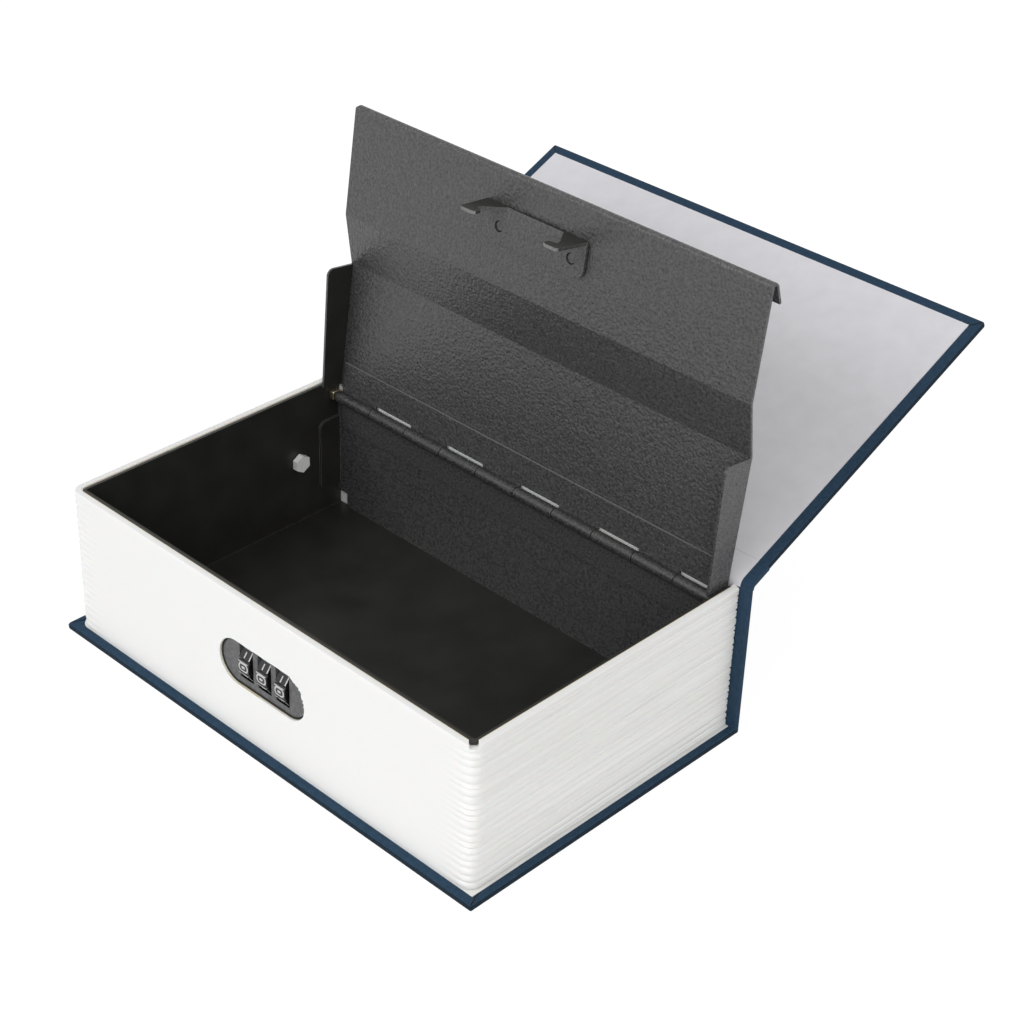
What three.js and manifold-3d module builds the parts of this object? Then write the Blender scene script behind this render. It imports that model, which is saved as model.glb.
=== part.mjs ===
// A small steel cash box hidden in a hardcover book, with a three dial combination lock.
// Millimetres. X runs from the head to the tail of the book, -Y is the fore-edge with
// the lock, +Y is the spine, and Z = 0 is the surface that the closed lower cover lies on.
// The book stands open: the upper cover and the steel lid are turned back on their hinges.

import * as THREE from 'three';
import { mergeVertices } from 'three/addons/utils/BufferGeometryUtils.js';
import Module from 'manifold-3d';

const wasm = await Module();
wasm.setup();

// Book case: grey boards wrapped in cloth
const bookLength = 183;
const bookWidth = 115;
const boardThickness = 1.4;
const clothThickness = 0.25;
const glueLine = 0.05;
const turnInWidth = 12;
const spineHeight = 53;
const coverAxisLift = 1.5;
const coverJointWidth = 7;
const coverOpenAngle = 155.9;
const coverOverhang = 1.5;
const closedCoverGap = 0.5;
const endpaperThickness = 0.25;
const endpaperMargin = 3.6;

// Page block: a moulded ring with ribs for the edges of the pages
const endSquare = 3.3;
const foreSquare = 3.1;
const pageTopDrop = 0.2;
const pageEndWall = 2.4;
const pageForeWall = 2.2;
const pageSpineWall = 1.15;
const pageSpineGap = 0.2;
const pageCornerRadius = 4;
const ribCount = 26;
const ribDepth = 0.5;
const foreRibDepth = 0.1;
const pageInnerRadius = 2.1;
const ledgeHeight = 1.6;
const ledgeReach = 0.8;
const ledgeEndGap = 0.35;
const cornerNotchWidth = 2.6;
const cornerNotchDepth = 1.4;
const cornerNotchReach = 0.1;
const lowerPaperSquare = 2.6;

// Steel box
const boxSheet = 0.8;
const hemThickness = 1.5;
const hemHeight = 9;
const hemFoldDrop = 0.2;
const cornerEarGap = 0.3;
const boxGap = 0.25;
const boxTopDrop = 0.3;
const webDrop = 3.1;
const sideTabWidth = 8.7;
const sideTabDrop = 14;
const sideTabBottom = 12;
const sideTabSheet = 0.8;
const sideTabRadius = 2.5;
const cornerReliefWidth = 4.2;
const cornerReliefHeight = 5;
const sideScrewFromBack = 18;
const sideScrewHeight = 27;
const sideScrewHead = 6.4;
const sideScrewHeadHeight = 2.1;
const sideScrewShank = 3;
const sideScrewBite = 1.6;

// Piano hinge
const hingeFromBack = 2.3;
const hingeDrop = 1.8;
const hingeLength = 166;
const hingeOffset = 1.4;
const knuckleCount = 10;
const knuckleRadius = 2;
const pinRadius = 0.9;
const pinClearance = 0.3;
const pinOverhang = 0.6;
const leafSheet = 0.8;
const leafWidth = 12.2;
const knuckleGap = 0.3;
const seatGap = 0.3;

// Steel lid, drawn closed about the hinge axis
const lidOpenAngle = 97.6;
const lidSheet = 0.8;
const lidSideClearance = 0.6;
const lidFrontClearance = 0.35;
const lidStart = 3.2;
const firstBend = 46.9;
const secondBend = 64.4;
const jogDrop = 4.8;
const bendRadius = 1.4;
const lipFoldRadius = 1;
const lipAngle = 25;
const lipLength = 6.4;
const lidCornerClip = 0.8;
const flangeDepthBack = 8.9;
const flangeDepthFront = 11.6;
const flangeCornerRadius = 2.5;
const flangeEndGap = 0.4;

// Latch bracket with two hooks on the inside of the lid
const bracketSheet = 1;
const bracketSetback = 10.6;
const bracketPlateWidth = 12;
const bracketLeft = -23.2;
const bracketRight = 18.2;
const bracketCornerRadius = 3;
const hookDepth = 13.5;
const hookNotchDepth = 10;
const hookNeckDepth = 8.6;
const hookBaseWidth = 10;
const hookNeckWidth = 4.2;
const hookBarbWidth = 6.8;
const hookTipSlope = 1.5;
const hookChamfer = 0.8;
const barbChamfer = 1.2;
const barbDrop = 0.5;
const rivetSpacing = 29.5;
const rivetFromBend = 6.9;
const rivetShift = 0.55;
const rivetHead = 4.6;
const rivetHeadHeight = 0.5;
const rivetShank = 3.1;
const rivetSink = 0.5;

// Combination lock in the fore-edge
const lockX = 1.5;
const lockFromTop = 24;
const lockOpeningLength = 38;
const lockOpeningHeight = 15.6;
const faceClearance = 0.5;
const faceRecess = 0.8;
const wallCutClearance = 0.4;
const dialCount = 3;
const dialPitch = 8;
const dialOffset = 0.15;
const dialWidth = 4.6;
const dialRadius = 7.2;
const dialProud = 0.5;
const dialSides = 10;
const dialGroove = 0.45;
const dialBoreClearance = 0.35;
const windowLeftClearance = 0.4;
const windowRightClearance = 0.9;
const windowEndClearance = 0.45;
const windowTopRim = 0.5;
const spindleRadius = 1.4;
const spindleClearance = 0.3;
const cheekWidth = 1.3;
const cheekHeight = 5;
const cheekGap = 0.5;
const cheekWall = 1;
const bossRadius = 1.5;
const bossFromCentre = 14.6;
const bossDrop = 3.6;
const bossLength = 5;
const lockScrewRadius = 0.8;
const lockScrewClearance = 0.3;
const lockScrewHead = 3.4;
const lockScrewHeadHeight = 1.2;
const camWidth = 1.5;
const camRadius = 3.8;
const camGap = 0.3;
const camNotchWidth = 1.9;
const camNotchDepth = 1.2;
const caseLeft = -26;
const caseRight = 21;
const caseBelow = 11.3;
const caseWall = 1.4;
const caseDepth = 14.65;
const caseChamfer = 2;
const hookSlotClearance = 0.8;
const detentSheet = 0.5;
const detentReach = 0.4;
const catchSheet = 1;
const catchEarWidth = 2;
const catchBarWidth = 2.8;
const catchGap = 0.5;
const catchTravel = 2.4;
const catchLift = 0.1;
const catchHeadroom = 0.4;
const catchFingerWidth = 1.2;
const catchFingerDrop = 7;
const catchArmDrop = 9;
const springWire = 0.25;
const springRadius = 1.5;
const springTurns = 7;
const springX = -19.5;
const springDrop = 5;
const resetSlotLength = 8;
const resetNeck = 3.4;
const resetHead = 5;
const resetDrop = 5.8;
const resetX = -4;

// Places worked out from the sizes above
const coverThickness = boardThickness + 2 * (clothThickness + glueLine);
const halfLength = bookLength / 2;
const foreY = -bookWidth / 2;
const spineY = bookWidth / 2;
const spineInner = spineY - coverThickness;
const pageTop = spineHeight - pageTopDrop;
const pageHalf = halfLength - endSquare;
const pageFore = foreY + foreSquare;
const pageForeInner = pageFore + pageForeWall;
const pageBack = spineInner - pageSpineGap;
const pageBackInner = pageBack - pageSpineWall;
const pageBottom = coverThickness + endpaperThickness + 2 * glueLine;
const boxHalf = pageHalf - pageEndWall - boxGap;
const boxInnerHalf = boxHalf - boxSheet;
const boxFront = pageForeInner + boxGap;
const boxFrontInner = boxFront + boxSheet;
const boxBack = pageBackInner - boxGap;
const boxBackInner = boxBack - boxSheet;
const boxBottom = pageBottom + seatGap;
const boxFloor = boxBottom + boxSheet;
const boxTop = pageTop - boxTopDrop;
const webTop = boxTop - webDrop;
const boxBackTop = webTop - ledgeHeight - seatGap;
const sideTabTop = boxTop - sideTabDrop;
const hingeHeight = webTop - hingeDrop;
const hingeY = boxBackInner - hingeFromBack;
const knucklePitch = hingeLength / knuckleCount;
const lidInner = knuckleRadius + seatGap;
const lidOuter = lidInner + lidSheet;
const lidHalf = boxInnerHalf - lidSideClearance;
const lidLength = hingeY - boxFront - hemThickness - lidFrontClearance;
const lidMid = lidInner + lidSheet / 2;
const bracketFromHinge = lidLength - bracketSetback;
const freeMid = lidMid - jogDrop;
const freeInner = freeMid - lidSheet / 2;
const bracketTop = freeInner - seatGap;
const hookMiddle = (bracketLeft + bracketRight) / 2;
const hookY = hingeY - bracketFromHinge;
const catchZ = hingeHeight + freeInner - hookNotchDepth + catchLift;
const lockZ = pageTop - lockFromTop;
const resetHeight = lockZ - resetDrop;
const faceFront = pageFore + faceRecess;
const faceBack = boxFront - seatGap;
const dialY = pageFore - dialProud + dialRadius;
const dialsX = lockX + dialOffset;
const dialXs = Array.from({ length: dialCount }, (_, i) => dialsX + (i - (dialCount - 1) / 2) * dialPitch);
const cheekLeft = dialXs[0] - dialWidth / 2 - camGap - camWidth - cheekGap - cheekWidth;
const cheekRight = dialXs[dialCount - 1] + dialWidth / 2 + 2 * cheekGap;
const caseFront = boxFrontInner + seatGap;
const caseBack = caseFront + caseDepth;
const caseBottom = lockZ - caseBelow;
const caseTop = catchZ + catchSheet + catchHeadroom + caseWall;

// Shapes are drawn in a plane and swept along one axis
const alongX = new THREE.Matrix4().makeBasis(
  new THREE.Vector3(0, 1, 0), new THREE.Vector3(0, 0, 1), new THREE.Vector3(1, 0, 0));
const alongY = new THREE.Matrix4().makeBasis(
  new THREE.Vector3(1, 0, 0), new THREE.Vector3(0, 0, 1), new THREE.Vector3(0, -1, 0));

function sweep(shape, length, steps = 6) {
  return new THREE.ExtrudeGeometry(shape, { depth: length, bevelEnabled: false, curveSegments: steps });
}

// A shape in (y, z), swept from x0 to x1
function sweepX(shape, x0, x1, steps) {
  return sweep(shape, x1 - x0, steps).applyMatrix4(alongX).translate(x0, 0, 0);
}

// A shape in (x, z), swept from y0 to y1
function sweepY(shape, y0, y1, steps) {
  return sweep(shape, y1 - y0, steps).applyMatrix4(alongY).translate(0, y1, 0);
}

// A shape in (x, y), swept from z0 to z1
function sweepZ(shape, z0, z1, steps) {
  return sweep(shape, z1 - z0, steps).translate(0, 0, z0);
}

function box(x0, x1, y0, y1, z0, z1) {
  return new THREE.BoxGeometry(x1 - x0, y1 - y0, z1 - z0)
    .translate((x0 + x1) / 2, (y0 + y1) / 2, (z0 + z1) / 2);
}

function rodX(x0, x1, y, z, radius, sides = 16) {
  return new THREE.CylinderGeometry(radius, radius, x1 - x0, sides)
    .rotateZ(-Math.PI / 2).translate((x0 + x1) / 2, y, z);
}

function rodY(y0, y1, x, z, radius, sides = 16) {
  return new THREE.CylinderGeometry(radius, radius, y1 - y0, sides).translate(x, (y0 + y1) / 2, z);
}

function polygon(points) {
  return new THREE.Shape(points.map(([a, b]) => new THREE.Vector2(a, b)));
}

function roundedRect(half, y0, y1, radius) {
  const shape = new THREE.Shape();
  shape.moveTo(-half + radius, y0);
  shape.lineTo(half - radius, y0);
  shape.absarc(half - radius, y0 + radius, radius, -Math.PI / 2, 0, false);
  shape.lineTo(half, y1);
  shape.lineTo(-half, y1);
  shape.lineTo(-half, y0 + radius);
  shape.absarc(-half + radius, y0 + radius, radius, Math.PI, Math.PI * 1.5, false);
  return shape;
}

function obround(cx, cz, length, height) {
  const r = height / 2;
  const reach = length / 2 - r;
  const shape = new THREE.Shape();
  shape.moveTo(cx - reach, cz - r);
  shape.lineTo(cx + reach, cz - r);
  shape.absarc(cx + reach, cz, r, -Math.PI / 2, Math.PI / 2, false);
  shape.lineTo(cx - reach, cz + r);
  shape.absarc(cx - reach, cz, r, Math.PI / 2, Math.PI * 1.5, false);
  return shape;
}

// Closed solids are joined and cut as manifolds
function solid(geometry) {
  const bare = geometry.clone();
  bare.deleteAttribute('normal');
  bare.deleteAttribute('uv');
  const merged = mergeVertices(bare, 1e-5);
  return new wasm.Manifold(new wasm.Mesh({
    numProp: 3,
    vertProperties: new Float32Array(merged.attributes.position.array),
    triVerts: new Uint32Array(merged.index.array),
  }));
}

function join(...geometries) {
  return geometries.map(solid).reduce((sum, next) => sum.add(next));
}

function cut(body, ...tools) {
  return tools.map(solid).reduce((rest, tool) => rest.subtract(tool), body);
}

function surface(manifold) {
  const data = manifold.getMesh();
  const geometry = new THREE.BufferGeometry();
  geometry.setAttribute('position', new THREE.BufferAttribute(new Float32Array(data.vertProperties), 3));
  geometry.setIndex(new THREE.BufferAttribute(new Uint32Array(data.triVerts), 1));
  geometry.computeVertexNormals();
  return geometry;
}

const finishes = {
  cloth: { color: 0x2b4562, roughness: 0.75, metalness: 0 },
  board: { color: 0x8d857a, roughness: 0.9, metalness: 0 },
  paper: { color: 0xe6e5ea, roughness: 0.85, metalness: 0 },
  page: { color: 0xeeeeea, roughness: 0.6, metalness: 0 },
  hammered: { color: 0x3b3b3c, roughness: 0.35, metalness: 0.4 },
  satinBlack: { color: 0x161616, roughness: 0.35, metalness: 0.3 },
  zinc: { color: 0xb9b29c, roughness: 0.35, metalness: 0.9 },
  screw: { color: 0xd8d8da, roughness: 0.25, metalness: 0.9 },
  lockFace: { color: 0x58585a, roughness: 0.45, metalness: 0.5 },
  dial: { color: 0x1c1c1e, roughness: 0.4, metalness: 0 },
  steel: { color: 0x8e8f92, roughness: 0.35, metalness: 0.9 },
  lockBody: { color: 0x222224, roughness: 0.55, metalness: 0 },
};

const group = new THREE.Group();

function add(name, shape, finish, parent = group) {
  const geometry = shape.isBufferGeometry ? shape : surface(shape);
  const mesh = new THREE.Mesh(geometry, new THREE.MeshStandardMaterial(finishes[finish]));
  mesh.name = name;
  parent.add(mesh);
  return mesh;
}

// Lower board, spine board and the cloth that wraps both
const wrap = clothThickness + glueLine;
const boardHalf = halfLength - wrap;
const spineBoardBottom = coverThickness + wrap;
add('lower_board', box(-boardHalf, boardHalf, foreY + wrap, spineInner - wrap, wrap, wrap + boardThickness), 'board');
add('spine_board', box(-boardHalf, boardHalf, spineInner + wrap, spineY - wrap,
  spineBoardBottom, spineHeight - wrap), 'board');

// Cuts for a board inside its cloth and for the middle that the turned-in edges leave bare
function clothCuts(y0, y1, z0, z1, bareAxis, bareSide) {
  const inner = halfLength - clothThickness;
  const bare = halfLength - turnInWidth;
  const pocket = box(-inner, inner, y0 + clothThickness, y1 - clothThickness,
    z0 + clothThickness, z1 - clothThickness);
  const reach = 2 * clothThickness;
  const middle = bareAxis === 'z'
    ? box(-bare, bare, y0 + turnInWidth, y1 - turnInWidth, bareSide - reach, bareSide + reach)
    : box(-bare, bare, bareSide - reach, bareSide + reach, z0 + turnInWidth, z1 - turnInWidth);
  return [pocket, middle];
}

add('case_cloth', cut(
  join(
    box(-halfLength, halfLength, foreY, spineY, 0, coverThickness),
    box(-halfLength, halfLength, spineInner, spineY, 0, spineHeight)),
  ...clothCuts(foreY, spineInner, 0, coverThickness, 'z', coverThickness),
  ...clothCuts(spineInner, spineY, coverThickness, spineHeight, 'y', spineInner)), 'cloth');

// Upper cover, drawn closed about its hinge axis and turned open
const coverGroup = new THREE.Group();
coverGroup.position.set(0, spineY, spineHeight + coverAxisLift);
coverGroup.rotation.x = -THREE.MathUtils.degToRad(coverOpenAngle);
group.add(coverGroup);
const coverFar = -bookWidth - coverOverhang;
const coverNear = -coverJointWidth;
const coverInner = pageTop + closedCoverGap - spineHeight - coverAxisLift;
const coverOuter = coverInner + coverThickness;
add('upper_board', box(-boardHalf, boardHalf, coverFar + wrap, coverNear - wrap,
  coverInner + wrap, coverOuter - wrap), 'board', coverGroup);
add('upper_cloth', cut(
  solid(box(-halfLength, halfLength, coverFar, coverNear, coverInner, coverOuter)),
  ...clothCuts(coverFar, coverNear, coverInner, coverOuter, 'z', coverInner)), 'cloth', coverGroup);
const paperHalf = halfLength - endpaperMargin;
add('upper_endpaper', box(-paperHalf, paperHalf, coverFar + endpaperMargin, coverNear,
  coverInner - glueLine - endpaperThickness, coverInner - glueLine), 'paper', coverGroup);

// Endpaper on the lower board, seen at the rounded corners of the page block
const lowerPaperHalf = halfLength - lowerPaperSquare;
add('lower_endpaper', box(-lowerPaperHalf, lowerPaperHalf, pageFore, pageBack,
  coverThickness + glueLine, coverThickness + glueLine + endpaperThickness), 'paper');

// A place in the cover's own drawing, seen in the open book
function coverPoint(y, z) {
  const turned = new THREE.Vector3(0, y, z).applyAxisAngle(new THREE.Vector3(1, 0, 0), coverGroup.rotation.x);
  return [turned.y + coverGroup.position.y, turned.z + coverGroup.position.z];
}

// A strip of even thickness along a curve in (y, z)
function strip(points, thickness) {
  const left = [];
  const right = [];
  points.forEach(([y, z], i) => {
    const before = points[Math.max(i - 1, 0)];
    const after = points[Math.min(i + 1, points.length - 1)];
    const into = new THREE.Vector2(y - before[0], z - before[1]);
    const away = new THREE.Vector2(after[0] - y, after[1] - z);
    const first = into.length() > 0 ? into.clone().normalize() : away.clone().normalize();
    const second = away.length() > 0 ? away.clone().normalize() : first;
    const along = first.add(second).normalize();
    const last = away.length() > 0 ? away.normalize() : into.normalize();
    const spread = thickness / 2 / Math.max(along.dot(last), 0.5);
    left.push([y - along.y * spread, z + along.x * spread]);
    right.push([y + along.y * spread, z - along.x * spread]);
  });
  return polygon([...right, ...left.reverse()]);
}

function curvePoints(start, startPull, endPull, end, count) {
  const curve = new THREE.CubicBezierCurve(
    new THREE.Vector2(...start), new THREE.Vector2(...startPull),
    new THREE.Vector2(...endPull), new THREE.Vector2(...end));
  return curve.getPoints(count).map((p) => [p.x, p.y]);
}

// The cloth between spine and cover flexes, and the endpaper crosses the same joint inside it
const jointSheet = 2 * clothThickness;
const jointMid = jointSheet / 2;
add('cover_joint', sweepX(strip(curvePoints(
  [spineY - jointMid, spineHeight + seatGap],
  [spineY - jointMid, spineHeight + coverAxisLift],
  coverPoint(-coverAxisLift, coverOuter - jointMid),
  coverPoint(coverNear + seatGap, coverOuter - jointMid), 8), jointSheet), -halfLength, halfLength), 'cloth');
add('joint_endpaper', sweepX(strip(curvePoints(
  [spineInner - pageSpineGap / 2, spineHeight + seatGap],
  [spineInner + coverThickness / 2, spineHeight + coverJointWidth / 2],
  coverPoint(coverNear + coverJointWidth / 2, coverInner - glueLine - endpaperThickness / 2),
  coverPoint(coverNear + seatGap, coverInner - glueLine - endpaperThickness / 2), 8), endpaperThickness),
-paperHalf, paperHalf), 'paper');

// Rounded outline of the page block at one height, as a ring of points
function pageOutline(endInset, foreInset) {
  const x = pageHalf - endInset;
  const y0 = pageFore + foreInset;
  const r = pageCornerRadius;
  const spineR = r / 2;
  const corner = (cx, cy, radius, from, xInset, yInset) => Array.from({ length: 5 }, (_, i) => {
    const a = from + i * Math.PI / 8;
    return [cx + (radius - xInset) * Math.cos(a), cy + (radius - yInset) * Math.sin(a)];
  });
  const cornerX = pageHalf - r;
  const fade = pageHalf - 3 * r;
  return [
    [-fade, y0], [fade, y0],
    ...corner(cornerX, pageFore + r, r, -Math.PI / 2, endInset, endInset),
    ...corner(pageHalf - spineR, pageBack - spineR, spineR, 0, endInset, 0),
    ...corner(-pageHalf + spineR, pageBack - spineR, spineR, Math.PI / 2, endInset, 0),
    ...corner(-cornerX, pageFore + r, r, Math.PI, endInset, endInset),
  ].map(([px, py]) => [THREE.MathUtils.clamp(px, -x, x), py]);
}

// Rings of equal count, one above the other, closed by flat ends
function loft(rings) {
  const count = rings[0].points.length;
  const positions = [];
  const triangles = [];
  rings.forEach(({ z, points }) => points.forEach(([x, y]) => positions.push(x, y, z)));
  for (let level = 0; level < rings.length - 1; level += 1) {
    for (let i = 0; i < count; i += 1) {
      const a = level * count + i;
      const b = level * count + (i + 1) % count;
      triangles.push(a, b, b + count, a, b + count, a + count);
    }
  }
  const top = (rings.length - 1) * count;
  const flat = THREE.ShapeUtils.triangulateShape(rings[0].points.map(([x, y]) => new THREE.Vector2(x, y)), []);
  flat.forEach(([a, b, c]) => triangles.push(a, c, b, top + a, top + b, top + c));
  const geometry = new THREE.BufferGeometry();
  geometry.setAttribute('position', new THREE.BufferAttribute(new Float32Array(positions), 3));
  geometry.setIndex(triangles);
  geometry.computeVertexNormals();
  return geometry;
}

function bareSolid(geometry) {
  return new wasm.Manifold(new wasm.Mesh({
    numProp: 3,
    vertProperties: new Float32Array(geometry.attributes.position.array),
    triVerts: new Uint32Array(geometry.index.array),
  }));
}

const ribPitch = (pageTop - pageBottom) / ribCount;
const pageRings = Array.from({ length: 2 * ribCount + 1 }, (_, i) => {
  const groove = i % 2 === 0 ? 1 : 0;
  return { z: pageBottom + i * ribPitch / 2, points: pageOutline(groove * ribDepth, groove * foreRibDepth) };
});
const sideScrewY = boxBackInner - sideScrewFromBack;
const screwHole = sideScrewShank / 2 + seatGap;
// A small block across the near corner, turned to point outwards
function cornerBlock(width, inward, outward, x, y, z0, z1) {
  return box(-width / 2, width / 2, -outward, inward, z0, z1).rotateZ(Math.PI / 4).translate(x, y, 0);
}
const pageInner = pageHalf - pageEndWall;
// The low back is a web with a ledge that reaches forward over the wall of the box
const ledgeHalf = boxInnerHalf - ledgeEndGap;
const pageRing = cut(
  bareSolid(loft(pageRings)),
  sweepZ(roundedRect(pageInner, pageForeInner, pageBackInner, pageInnerRadius), 0, pageTop + 1, 4),
  box(-boxHalf, boxHalf, boxBackInner, spineY, webTop, pageTop + 1));
add('page_block', cut(
  pageRing.add(solid(box(-ledgeHalf, ledgeHalf, pageBackInner - ledgeReach, pageBack - pageSpineWall / 2,
    webTop - ledgeHeight, webTop))),
  sweepY(obround(lockX, lockZ, lockOpeningLength, lockOpeningHeight), pageFore - 1, pageForeInner + 1, 8),
  cornerBlock(cornerNotchWidth, pageInnerRadius, cornerNotchReach, pageInner, pageForeInner,
    pageTop - cornerNotchDepth, pageTop + 1),
  rodX(-boxHalf - sideScrewBite - seatGap, -boxHalf, sideScrewY, sideScrewHeight, screwHole),
  rodX(boxHalf, boxHalf + sideScrewBite + seatGap, sideScrewY, sideScrewHeight, screwHole)), 'page');

// Steel box, open at the top, with a low back wall for the hinge and welded side tabs
function tabShape() {
  const y0 = boxBackInner - sideTabWidth;
  const r = sideTabRadius;
  const shape = new THREE.Shape();
  shape.moveTo(boxBackInner + boxSheet / 2, sideTabBottom);
  shape.lineTo(boxBackInner + boxSheet / 2, sideTabTop);
  shape.lineTo(y0 + r, sideTabTop);
  shape.absarc(y0 + r, sideTabTop - r, r, Math.PI / 2, Math.PI, false);
  shape.lineTo(y0, sideTabBottom + r);
  shape.absarc(y0 + r, sideTabBottom + r, r, Math.PI, Math.PI * 1.5, false);
  return shape;
}

const wallCut = obround(lockX, lockZ, lockOpeningLength - 2 * faceClearance - 2 * wallCutClearance,
  lockOpeningHeight - 2 * faceClearance - 2 * wallCutClearance);
const tabFace = boxInnerHalf - sideTabSheet;
const boxRadius = pageInnerRadius - boxGap;
const earWidth = cornerNotchWidth - 2 * cornerEarGap;
add('box_body', cut(
  cut(
    solid(sweepZ(roundedRect(boxHalf, boxFront, boxBack, boxRadius), boxBottom, boxTop, 4)),
    sweepZ(roundedRect(boxInnerHalf, boxFrontInner, boxBackInner, boxRadius - boxSheet), boxFloor, boxTop + 1, 4),
    box(-boxInnerHalf, boxInnerHalf, boxBackInner - 1, boxBack + 1, boxBackTop, boxTop + 1))
    .add(solid(sweepX(tabShape(), -boxInnerHalf - boxSheet / 2, -tabFace, 5)))
    .add(solid(sweepX(tabShape(), tabFace, boxInnerHalf + boxSheet / 2, 5)))
    .add(solid(box(-boxInnerHalf - boxSheet / 2, boxInnerHalf + boxSheet / 2, boxFrontInner - boxSheet / 2,
      boxFront + hemThickness, boxTop - hemHeight, boxTop - hemFoldDrop)))
    .add(solid(cornerBlock(earWidth, boxRadius, 0, boxHalf, boxFront,
      pageTop - cornerNotchDepth + cornerEarGap, boxTop))),
  sweepY(wallCut, boxFront - 1, boxFrontInner + 1, 8),
  box(-boxInnerHalf, -boxInnerHalf + cornerReliefWidth, boxBackInner - 0.2, boxBack + 1,
    boxFloor, boxFloor + cornerReliefHeight),
  box(boxInnerHalf - cornerReliefWidth, boxInnerHalf, boxBackInner - 0.2, boxBack + 1,
    boxFloor, boxFloor + cornerReliefHeight),
  rodX(-boxHalf - 1, -tabFace + 1, sideScrewY, sideScrewHeight, screwHole),
  rodX(tabFace - 1, boxHalf + 1, sideScrewY, sideScrewHeight, screwHole)), 'satinBlack');

// Hexagon headed screws that hold the page block to the box ends
function sideScrew(side) {
  const seat = boxInnerHalf - seatGap;
  const parts = [
    new THREE.CylinderGeometry(sideScrewHead / 2, sideScrewHead / 2, sideScrewHeadHeight, 6)
      .rotateZ(Math.PI / 2).translate(seat - sideScrewHeadHeight / 2, 0, 0),
    rodX(seat - 0.5, boxHalf + sideScrewBite, 0, 0, sideScrewShank / 2),
  ];
  const whole = surface(join(...parts));
  const placed = side < 0 ? whole.rotateZ(Math.PI) : whole;
  return placed.translate(0, sideScrewY, sideScrewHeight);
}
add('side_screw_head', sideScrew(-1), 'screw');
add('side_screw_tail', sideScrew(1), 'screw');

// Piano hinge. Odd knuckles belong to the lid and even ones to the box.
function knuckle(index, start) {
  const x0 = start + index * knucklePitch + knuckleGap / 2;
  const ring = new THREE.Shape();
  ring.absarc(0, 0, knuckleRadius, 0, Math.PI * 2, false);
  const bore = new THREE.Path();
  bore.absarc(0, 0, pinRadius + pinClearance, 0, Math.PI * 2, true);
  ring.holes.push(bore);
  return sweepX(ring, x0, x0 + knucklePitch - knuckleGap, 9);
}

// A leaf that hangs down behind the hinge axis, with every second knuckle
function leaf(start, parity, stripLeft, stripRight) {
  let body = solid(box(stripLeft, stripRight, knuckleRadius - leafSheet, knuckleRadius, -leafWidth, 0));
  for (let i = 0; i < knuckleCount; i += 1) {
    const x0 = start + i * knucklePitch;
    if (i % 2 === parity) {
      body = body.add(solid(knuckle(i, start)));
    } else {
      body = body.subtract(solid(box(x0 - knuckleGap / 2, x0 + knucklePitch + knuckleGap / 2,
        -knuckleRadius, knuckleRadius + 1, -knuckleRadius - 2 * knuckleGap, 1)));
    }
  }
  return surface(body.subtract(solid(rodX(-hingeLength, hingeLength, 0, 0, pinRadius + pinClearance, 18))));
}
const hingeLeft = hingeOffset - hingeLength / 2;
const hingeRight = hingeOffset + hingeLength / 2;
const leafLeft = hingeLeft + knuckleGap / 2;
const boxLeafRight = tabFace - seatGap;
const lidLeafRight = lidHalf - lidSheet - seatGap;
add('hinge_box_leaf', leaf(hingeLeft, 1, leafLeft, boxLeafRight).translate(0, hingeY, hingeHeight), 'hammered');
add('hinge_pin', rodX(hingeLeft - pinOverhang, boxInnerHalf - pinOverhang / 2, hingeY, hingeHeight, pinRadius), 'zinc');

// Lid group: everything in it is drawn closed, about the hinge axis
const lidGroup = new THREE.Group();
lidGroup.position.set(0, hingeY, hingeHeight);
lidGroup.rotation.x = -THREE.MathUtils.degToRad(lidOpenAngle);
group.add(lidGroup);
// Drawn from the other end, so that the half turn about Z puts its knuckles between the box's
const lidLeaf = leaf(-hingeRight, (knuckleCount + 1) % 2, -lidLeafRight, -leafLeft)
  .rotateX(Math.PI / 2).rotateZ(Math.PI);
add('hinge_lid_leaf', lidLeaf, 'hammered', lidGroup);

// Middle line of the lid's sheet: hinge facet, slanted jog, free facet and folded lip
function fillet(from, at, to, radius, steps) {
  const corner = new THREE.Vector2(...at);
  const a = new THREE.Vector2(...from).sub(corner).normalize();
  const b = new THREE.Vector2(...to).sub(corner).normalize();
  const half = Math.acos(a.dot(b)) / 2;
  const reach = radius / Math.tan(half);
  const start = corner.clone().addScaledVector(a, reach);
  const end = corner.clone().addScaledVector(b, reach);
  const curve = new THREE.QuadraticBezierCurve(start, corner, end);
  return curve.getPoints(steps).map((p) => [p.x, p.y]);
}

function lidLine() {
  const foldU = lidLength - lipFoldRadius - lidSheet / 2;
  const foldV = freeMid + lipFoldRadius;
  const turn = Math.PI / 2 - THREE.MathUtils.degToRad(lipAngle);
  const fold = Array.from({ length: 9 }, (_, i) => {
    const a = -Math.PI / 2 + i / 8 * (turn + Math.PI / 2);
    return [foldU + lipFoldRadius * Math.cos(a), foldV + lipFoldRadius * Math.sin(a)];
  });
  const [endU, endV] = fold[fold.length - 1];
  const lip = THREE.MathUtils.degToRad(lipAngle);
  const start = [lidStart, lidMid];
  const one = [firstBend, lidMid];
  const two = [secondBend, freeMid];
  return [
    start,
    ...fillet(start, one, two, bendRadius, 4),
    ...fillet(one, two, [foldU, freeMid], bendRadius, 4),
    ...fold,
    [endU - lipLength * Math.cos(lip), endV + lipLength * Math.sin(lip)],
  ].map(([u, v]) => [-u, v]);
}

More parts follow.
